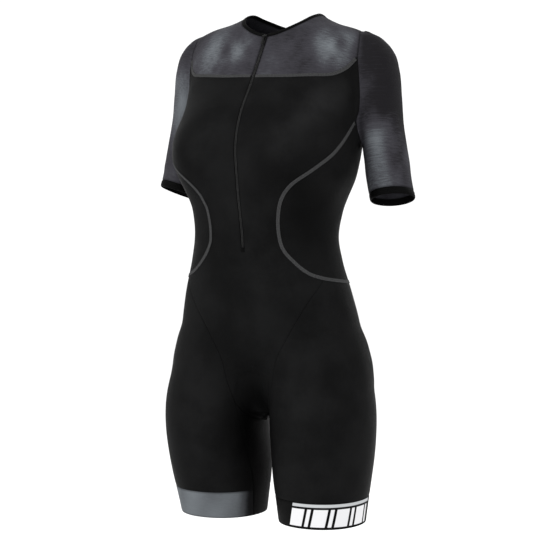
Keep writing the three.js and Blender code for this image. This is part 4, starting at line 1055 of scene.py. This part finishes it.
def calc(tree, operation, *terms):
    made = addNode(tree, "Math", operation=operation)
    for term, socket in zip(terms, made.inputs):
        feed(tree, term, socket)
    return made.outputs[0]


def times(tree, a, b):
    return calc(tree, "MULTIPLY", a, b)


def plus(tree, a, b):
    return calc(tree, "ADD", a, b)


def linear(tree, value, factor, start):  # value times factor, plus start
    return calc(tree, "MULTIPLY_ADD", value, factor, start)


def eased(tree, value, low, high, start=0.0, end=1.0):  # smoothly from start at low to end at high
    made = addNode(tree, "MapRange", interpolation_type="SMOOTHSTEP")
    for term, socket in zip((value, low, high, start, end), made.inputs):
        feed(tree, term, socket)
    return made.outputs[0]


def mixed(tree, share, a, b):  # colour a where the share is 0, and b where it is 1
    made = addNode(tree, "Mix", data_type="RGBA")
    for term, socket in zip((share, a, b), (made.inputs[0], made.inputs[6], made.inputs[7])):
        feed(tree, term, socket)
    return made.outputs[2]


def scaled(tree, colour, light):  # a colour times a number
    made = addNode(tree, "VectorMath", operation="SCALE")
    feed(tree, colour, made.inputs[0])
    feed(tree, light, made.inputs["Scale"])
    return made.outputs[0]


def noise(tree, place, scale, detail=2.0, rough=0.5, stretch=None):
    if stretch:
        mapping = addNode(tree, "Mapping")
        mapping.inputs["Scale"].default_value = stretch
        feed(tree, place, mapping.inputs["Vector"])
        place = mapping.outputs[0]
    made = addNode(tree, "TexNoise")
    feed(tree, place, made.inputs["Vector"])
    for label, value in (("Scale", scale), ("Detail", detail), ("Roughness", rough)):
        feed(tree, value, made.inputs[label])
    return made.outputs["Fac"]


def grey(level, blue=0.0):
    return (level, level * (1 + blue * 0.4), level * (1 + blue), 1)


def startGroup(name, inputs, outputs):
    tree = bpy.data.node_groups.new(name, "ShaderNodeTree")
    for label, kind, value in inputs:
        socket = tree.interface.new_socket(label, in_out="INPUT", socket_type="NodeSocket" + kind)
        if value is not None:
            socket.default_value = value
    for label in outputs:
        tree.interface.new_socket(label, in_out="OUTPUT", socket_type="NodeSocketFloat")
    return tree, tree.nodes.new("NodeGroupInput").outputs, tree.nodes.new("NodeGroupOutput").inputs


# Knit stitches on the map: a V for each wale and course, as a height and a slight shade. leg
# goes from 0 to a half and back across a wale, and the courses are shifted by it.
knitGroup, given, out = startGroup(
    "knitStitches", [("Map", "Vector", None), ("Wale", "Float", 0.0011), ("Course", "Float", 0.0009)],
    ["Height", "Shade"])
split = addNode(knitGroup, "SeparateXYZ")
feed(knitGroup, given["Map"], split.inputs[0])
leg = calc(knitGroup, "PINGPONG", calc(knitGroup, "DIVIDE", split.outputs[0], given["Wale"]), 0.5)
course = plus(knitGroup, calc(knitGroup, "DIVIDE", split.outputs[1], given["Course"]), leg)
loop = calc(knitGroup, "SINE", times(knitGroup, course, 2 * math.pi))
rib = calc(knitGroup, "SINE", times(knitGroup, leg, 2 * math.pi))
stitch = times(knitGroup, linear(knitGroup, loop, 0.35, 0.65), rib)
feed(knitGroup, stitch, out["Height"])
feed(knitGroup, linear(knitGroup, stitch, 0.3, 0.78), out["Shade"])

# Worn cloth: slow unevenness of tone, and a soft shade along the seams from the piece's own
# distance to its edge.
wornGroup, given, out = startGroup(
    "wornCloth", [("Position", "Vector", None), ("Edge", "Float", 0.02), ("Seam shade", "Float", 0.35)],
    ["Tone", "Light"])
slow = noise(wornGroup, given["Position"], 14, 2.0)
small = noise(wornGroup, given["Position"], 160, 3.0, 0.6)
nearSeam = eased(wornGroup, given["Edge"], 0.0, 0.004, 1.0, 0.0)
feed(wornGroup, eased(wornGroup, linear(wornGroup, small, 0.25, slow), 0.4, 0.85), out["Tone"])
seamShade = times(wornGroup, nearSeam, given["Seam shade"])
feed(wornGroup, calc(wornGroup, "SUBTRACT", 1.0, seamShade), out["Light"])

# Heather yarn: short streaks along the courses, dark and light fibres twisted together.
heatherGroup, given, out = startGroup(
    "heatherYarn", [("Map", "Vector", None), ("Cloud", "Float", 0.4), ("Contrast", "Float", 1.0)],
    ["Level", "Fibre"])
streaks = noise(heatherGroup, given["Map"], 430, 3.0, 0.65, (0.22, 1.0, 1.0))
flecks = noise(heatherGroup, given["Map"], 1500, 2.0, 0.6, (0.4, 1.0, 1.0))
fibre = plus(heatherGroup, times(heatherGroup, streaks, 0.6), times(heatherGroup, flecks, 0.4))
swing = times(heatherGroup, calc(heatherGroup, "SUBTRACT", fibre, 0.5), given["Contrast"])
feed(heatherGroup, plus(heatherGroup, given["Cloud"], swing), out["Level"])
feed(heatherGroup, fibre, out["Fibre"])


# A new material with its shader, and what its patterns read: the place on the object and the map.
def startMaterial(name, specular, rough=0.5):
    material = bpy.data.materials.new(name)
    material.use_nodes = True
    tree = material.node_tree
    shader = tree.nodes["Principled BSDF"]
    shader.inputs["Specular IOR Level"].default_value = specular
    shader.inputs["Roughness"].default_value = rough
    where = addNode(tree, "TexCoord").outputs
    return material, tree, shader, where["Object"], where["UV"]


def ownValue(tree, label):  # a number that setValues put at each corner
    return addNode(tree, "Attribute", attribute_name=label).outputs["Fac"]


def placeGroup(tree, group, **terms):
    made = tree.nodes.new("ShaderNodeGroup")
    made.node_tree = group
    for label, value in terms.items():
        feed(tree, value, made.inputs[label.replace("_", " ")])
    return made.outputs


def placeWorn(tree, place, seamShade):  # with the piece's own distance to its edge
    edge = ownValue(tree, "edgeDistance")
    return placeGroup(tree, wornGroup, Position=place, Edge=edge, Seam_shade=seamShade)


def bumped(tree, shader, height, distance, strength):
    bump = addNode(tree, "Bump")
    bump.inputs["Distance"].default_value = distance
    bump.inputs["Strength"].default_value = strength
    feed(tree, height, bump.inputs["Height"])
    feed(tree, bump.outputs[0], shader.inputs["Normal"])


# Black knit: two close tones, its stitches, and the painted highlights and painted shade in its stretch
# values.
blackKnit = {"dark": grey(0.0042, 0.03), "light": grey(0.0076, 0.03), "wale": 0.0011, "course": 0.0009,
             "specular": 0.012, "rough": (0.40, 0.55), "seam": 0.1, "bump": (0.00016, 0.6)}


def makeKnit(name, look):
    material, tree, shader, place, uv = startMaterial(name, look["specular"])
    worn = placeWorn(tree, place, look["seam"])
    knit = placeGroup(tree, knitGroup, Map=uv, Wale=look["wale"], Course=look["course"])
    base = mixed(tree, worn["Tone"], look["dark"], look["light"])
    # The stretch value lightens and darkens the colour, as painted highlight and painted shade.
    light = times(tree, worn["Light"], plus(tree, ownValue(tree, "stretch"), 1.0))
    feed(tree, scaled(tree, base, times(tree, light, knit["Shade"])), shader.inputs["Base Color"])
    feed(tree, eased(tree, worn["Tone"], 0.0, 1.0, *look["rough"]), shader.inputs["Roughness"])
    bumped(tree, shader, knit["Height"], *look["bump"])
    return material


# Heather knit: its level goes from dark over the middle tone to light, in two eased steps.
heatherKnit = {"dark": (0.0100, 0.0094, 0.0108, 1), "middle": (0.034, 0.033, 0.039, 1),
               "light": (0.128, 0.141, 0.152, 1), "toMiddle": (0.0, 0.42), "toLight": (0.36, 1.0),
               "specular": 0.03, "rough": 0.66, "contrast": 0.95, "seam": 0.45, "fibre": 0.6,
               "bump": (0.00018, 0.6)}


def makeHeather(name, look):
    material, tree, shader, place, uv = startMaterial(name, look["specular"], look["rough"])
    yarn = placeGroup(tree, heatherGroup, Map=uv, Cloud=ownValue(tree, "cloud"), Contrast=look["contrast"])
    worn = placeWorn(tree, place, look["seam"])
    knit = placeGroup(tree, knitGroup, Map=uv)
    lower = mixed(tree, eased(tree, yarn["Level"], *look["toMiddle"]), look["dark"], look["middle"])
    whole = mixed(tree, eased(tree, yarn["Level"], *look["toLight"]), lower, look["light"])
    shade = times(tree, worn["Light"], knit["Shade"])
    feed(tree, scaled(tree, whole, shade), shader.inputs["Base Color"])
    height = plus(tree, knit["Height"], times(tree, yarn["Fibre"], look["fibre"]))
    bumped(tree, shader, height, *look["bump"])
    return material


# Printed leg band: slanted bars, one wide and one narrow by turns, under a thin grey strip. The
# places are in metres on the map, and wide and narrow are shares of one turn.
barPrint = {"start": 0.084, "end": 0.236, "turn": 0.038, "wide": (0.0, 0.60), "narrow": (0.72, 0.88),
            "slant": 0.42, "top": 0.0105, "foot": 0.0405, "strip": (0.0015, 0.0068), "soft": 0.0003,
            "white": (0.62, 0.62, 0.63, 1), "stripGrey": (0.40, 0.41, 0.42, 1), "rough": (0.55, 0.42),
            "seam": 0.35, "bump": (0.00015, 0.6)}


def makePrintedBand(name, look, bars):
    material, tree, shader, place, uv = startMaterial(name, look["specular"])
    worn = placeWorn(tree, place, bars["seam"])
    knit = placeGroup(tree, knitGroup, Map=uv, Wale=look["wale"], Course=look["course"])
    split = addNode(tree, "SeparateXYZ")
    feed(tree, uv, split.inputs[0])
    down = times(tree, split.outputs[1], -1.0)
    slanted = linear(tree, down, bars["slant"], split.outputs[0])

    def within(value, low, high, soft=bars["soft"]):  # 1 between low and high, with soft ends
        return times(tree, eased(tree, value, low - soft, low + soft),
                     eased(tree, value, high - soft, high + soft, 1.0, 0.0))

    fromStart = calc(tree, "SUBTRACT", slanted, bars["start"])
    part = calc(tree, "FRACT", calc(tree, "DIVIDE", fromStart, bars["turn"]))
    inPrint = within(slanted, bars["start"], bars["end"])
    shapes = calc(tree, "MAXIMUM", within(part, *bars["wide"], 0.01), within(part, *bars["narrow"], 0.01))
    shapes = times(tree, times(tree, shapes, inPrint), within(down, bars["top"], bars["foot"]))
    strip = times(tree, within(down, *bars["strip"]), inPrint)
    ink = calc(tree, "MAXIMUM", shapes, strip)
    cloth = scaled(tree, mixed(tree, worn["Tone"], look["dark"], look["light"]), worn["Light"])
    printed = mixed(tree, strip, mixed(tree, shapes, cloth, bars["white"]), bars["stripGrey"])
    shade = linear(tree, knit["Shade"], 0.35, 0.65)
    feed(tree, scaled(tree, printed, shade), shader.inputs["Base Color"])
    feed(tree, eased(tree, ink, 0.0, 1.0, *bars["rough"]), shader.inputs["Roughness"])
    bumped(tree, shader, linear(tree, ink, 0.8, times(tree, knit["Height"], 0.7)), *bars["bump"])
    return material


# Thread, tape and trim: one tone that swings with fine streaks along the piece.
def makeThread(name, dark, light, specular, rough, stretch, scale=900, depth=0.00012):
    material, tree, shader, place, uv = startMaterial(name, specular)
    fibres = noise(tree, uv if stretch else place, scale, 3.0, 0.6, stretch)
    feed(tree, mixed(tree, eased(tree, fibres, 0.35, 0.7), dark, light), shader.inputs["Base Color"])
    feed(tree, eased(tree, fibres, 0.2, 0.8, rough + 0.08, rough - 0.08), shader.inputs["Roughness"])
    bumped(tree, shader, fibres, depth, 0.5)
    return material


# Painted metal: small scuffs show a lighter tone at a few places, and dust dulls the rest.
def makeMetal(name):
    material, tree, shader, place, uv = startMaterial(name, 0.12)
    scuff = eased(tree, noise(tree, place, 900, 4.0, 0.7), 0.62, 0.72)
    dust = noise(tree, place, 260, 2.0)
    feed(tree, mixed(tree, scuff, grey(0.0022), grey(0.03)), shader.inputs["Base Color"])
    feed(tree, eased(tree, dust, 0.3, 0.7, 0.32, 0.5), shader.inputs["Roughness"])
    bumped(tree, shader, dust, 0.00005, 0.3)
    return material


def makeFleece(name):  # a short pile in soft clumps, with a faint sheen
    material, tree, shader, place, uv = startMaterial(name, 0.1, 0.9)
    shader.inputs["Sheen Weight"].default_value = 0.3
    pile = times(tree, noise(tree, place, 1400, 3.0, 0.7), 0.5)
    level = plus(tree, pile, times(tree, noise(tree, place, 220, 2.0), 0.5))
    tone = eased(tree, level, 0.35, 0.65)
    feed(tree, mixed(tree, tone, grey(0.008), grey(0.022)), shader.inputs["Base Color"])
    bumped(tree, shader, level, 0.0005, 0.7)
    return material


bandKnit = dict(blackKnit, wale=0.0016, course=0.0008, dark=grey(0.0038), light=grey(0.0062))
greyBand = dict(heatherKnit, dark=(0.005, 0.005, 0.0055, 1), middle=(0.050, 0.053, 0.058, 1),
                light=(0.135, 0.148, 0.160, 1), contrast=0.3)
finishes = {
    "black_knit": makeKnit("blackKnit", blackKnit),
    "heather_knit": makeHeather("heatherKnit", heatherKnit),
    "grey_band": makeHeather("greyBand", greyBand),
    "black_band": makePrintedBand("printedBand", bandKnit, barPrint),
    "flatlock_tape": makeThread("flatlockThread", grey(0.016, 0.03), grey(0.050, 0.03), 0.05, 0.6,
                                (1.0, 0.5, 1.0), 1400),
    "binding_knit": makeThread("bindingKnit", grey(0.0014), grey(0.0034), 0.015, 0.55, (0.3, 1.0, 1.0)),
    "zip_teeth": makeThread("zipTeeth", grey(0.014), grey(0.034), 0.1, 0.45, None, 700, 0.00004),
    "zip_metal": makeMetal("zipMetal"),
    "pad": makeFleece("padFleece"),
}
tapeWeave = makeThread("zipTapeWeave", grey(0.0012), grey(0.003), 0.02, 0.6, (1.0, 0.25, 1.0), 1100)
for name, piece in pieces.items():
    piece.data.materials.append(tapeWeave if name in ("zipTape", "zipTack") else finishes[piece["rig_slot"]])
print("suit: finishes made")

# Studio: a round pale floor, even white surroundings, and three large soft lights that face the
# suit's middle. Places and sizes are in metres, and power is in watts.
studio = {"floor": -1.25, "floorRadius": 14, "floorTones": (grey(0.94), grey(0.97)), "surroundings": 1.1,
          "middle": (0, -0.05, -0.4)}
softLights = {
    "frontLight": {"at": (-1.5, -2.6, 1.3), "wide": 1.3, "power": 70},
    "nearLight": {"at": (2.6, -0.9, 0.7), "wide": 1.0, "power": 22},
    "backLight": {"at": (1.4, 2.2, 0.9), "wide": 1.2, "power": 14},
}
scene = bpy.context.scene
floorMesh = bpy.data.meshes.new("studioFloor")
a = np.arange(64) * 2 * math.pi / 64
rim = np.stack([np.cos(a), np.sin(a), 0 * a], -1) * studio["floorRadius"] + [0, 0, studio["floor"]]
floorMesh.from_pydata(rim.tolist(), [], [list(range(64))])
floorPaper, tree, shader, place, uv = startMaterial("floorPaper", 0.1, 0.9)
feed(tree, mixed(tree, noise(tree, place, 3.0), *studio["floorTones"]), shader.inputs["Base Color"])
floorMesh.materials.append(floorPaper)
floor = bpy.data.objects.new("studioFloor", floorMesh)
scene.collection.objects.link(floor)
world = bpy.data.worlds.new("studio")
world.use_nodes = True
background = world.node_tree.nodes["Background"]
background.inputs["Color"].default_value = (1, 1, 1, 1)
background.inputs["Strength"].default_value = studio["surroundings"]
scene.world = world
for name, look in softLights.items():
    light = bpy.data.lights.new(name, "AREA")
    light.size = look["wide"]
    light.energy = look["power"]
    lamp = bpy.data.objects.new(name, light)
    lamp.location = look["at"]
    lamp.rotation_euler = (Vector(studio["middle"]) - lamp.location).to_track_quat("-Z", "Y").to_euler()
    scene.collection.objects.link(lamp)
scene.view_settings.view_transform = "Standard"
scene.view_settings.look = "None"

# Camera: 27 degrees towards the suit's left side, level with its waist, looking slightly down.
view = {"at": (1.0669, -2.0939, -0.318), "towards": (-0.461472, 0.887195, -0.049822), "lens": 92.1}
cameraData = bpy.data.cameras.new("camera")
cameraData.lens = view["lens"]
camera = bpy.data.objects.new("camera", cameraData)
camera.location = view["at"]
camera.rotation_euler = Vector(view["towards"]).to_track_quat("-Z", "Y").to_euler()
scene.collection.objects.link(camera)
scene.camera = camera

print("suit: done,", len(pieces), "pieces")
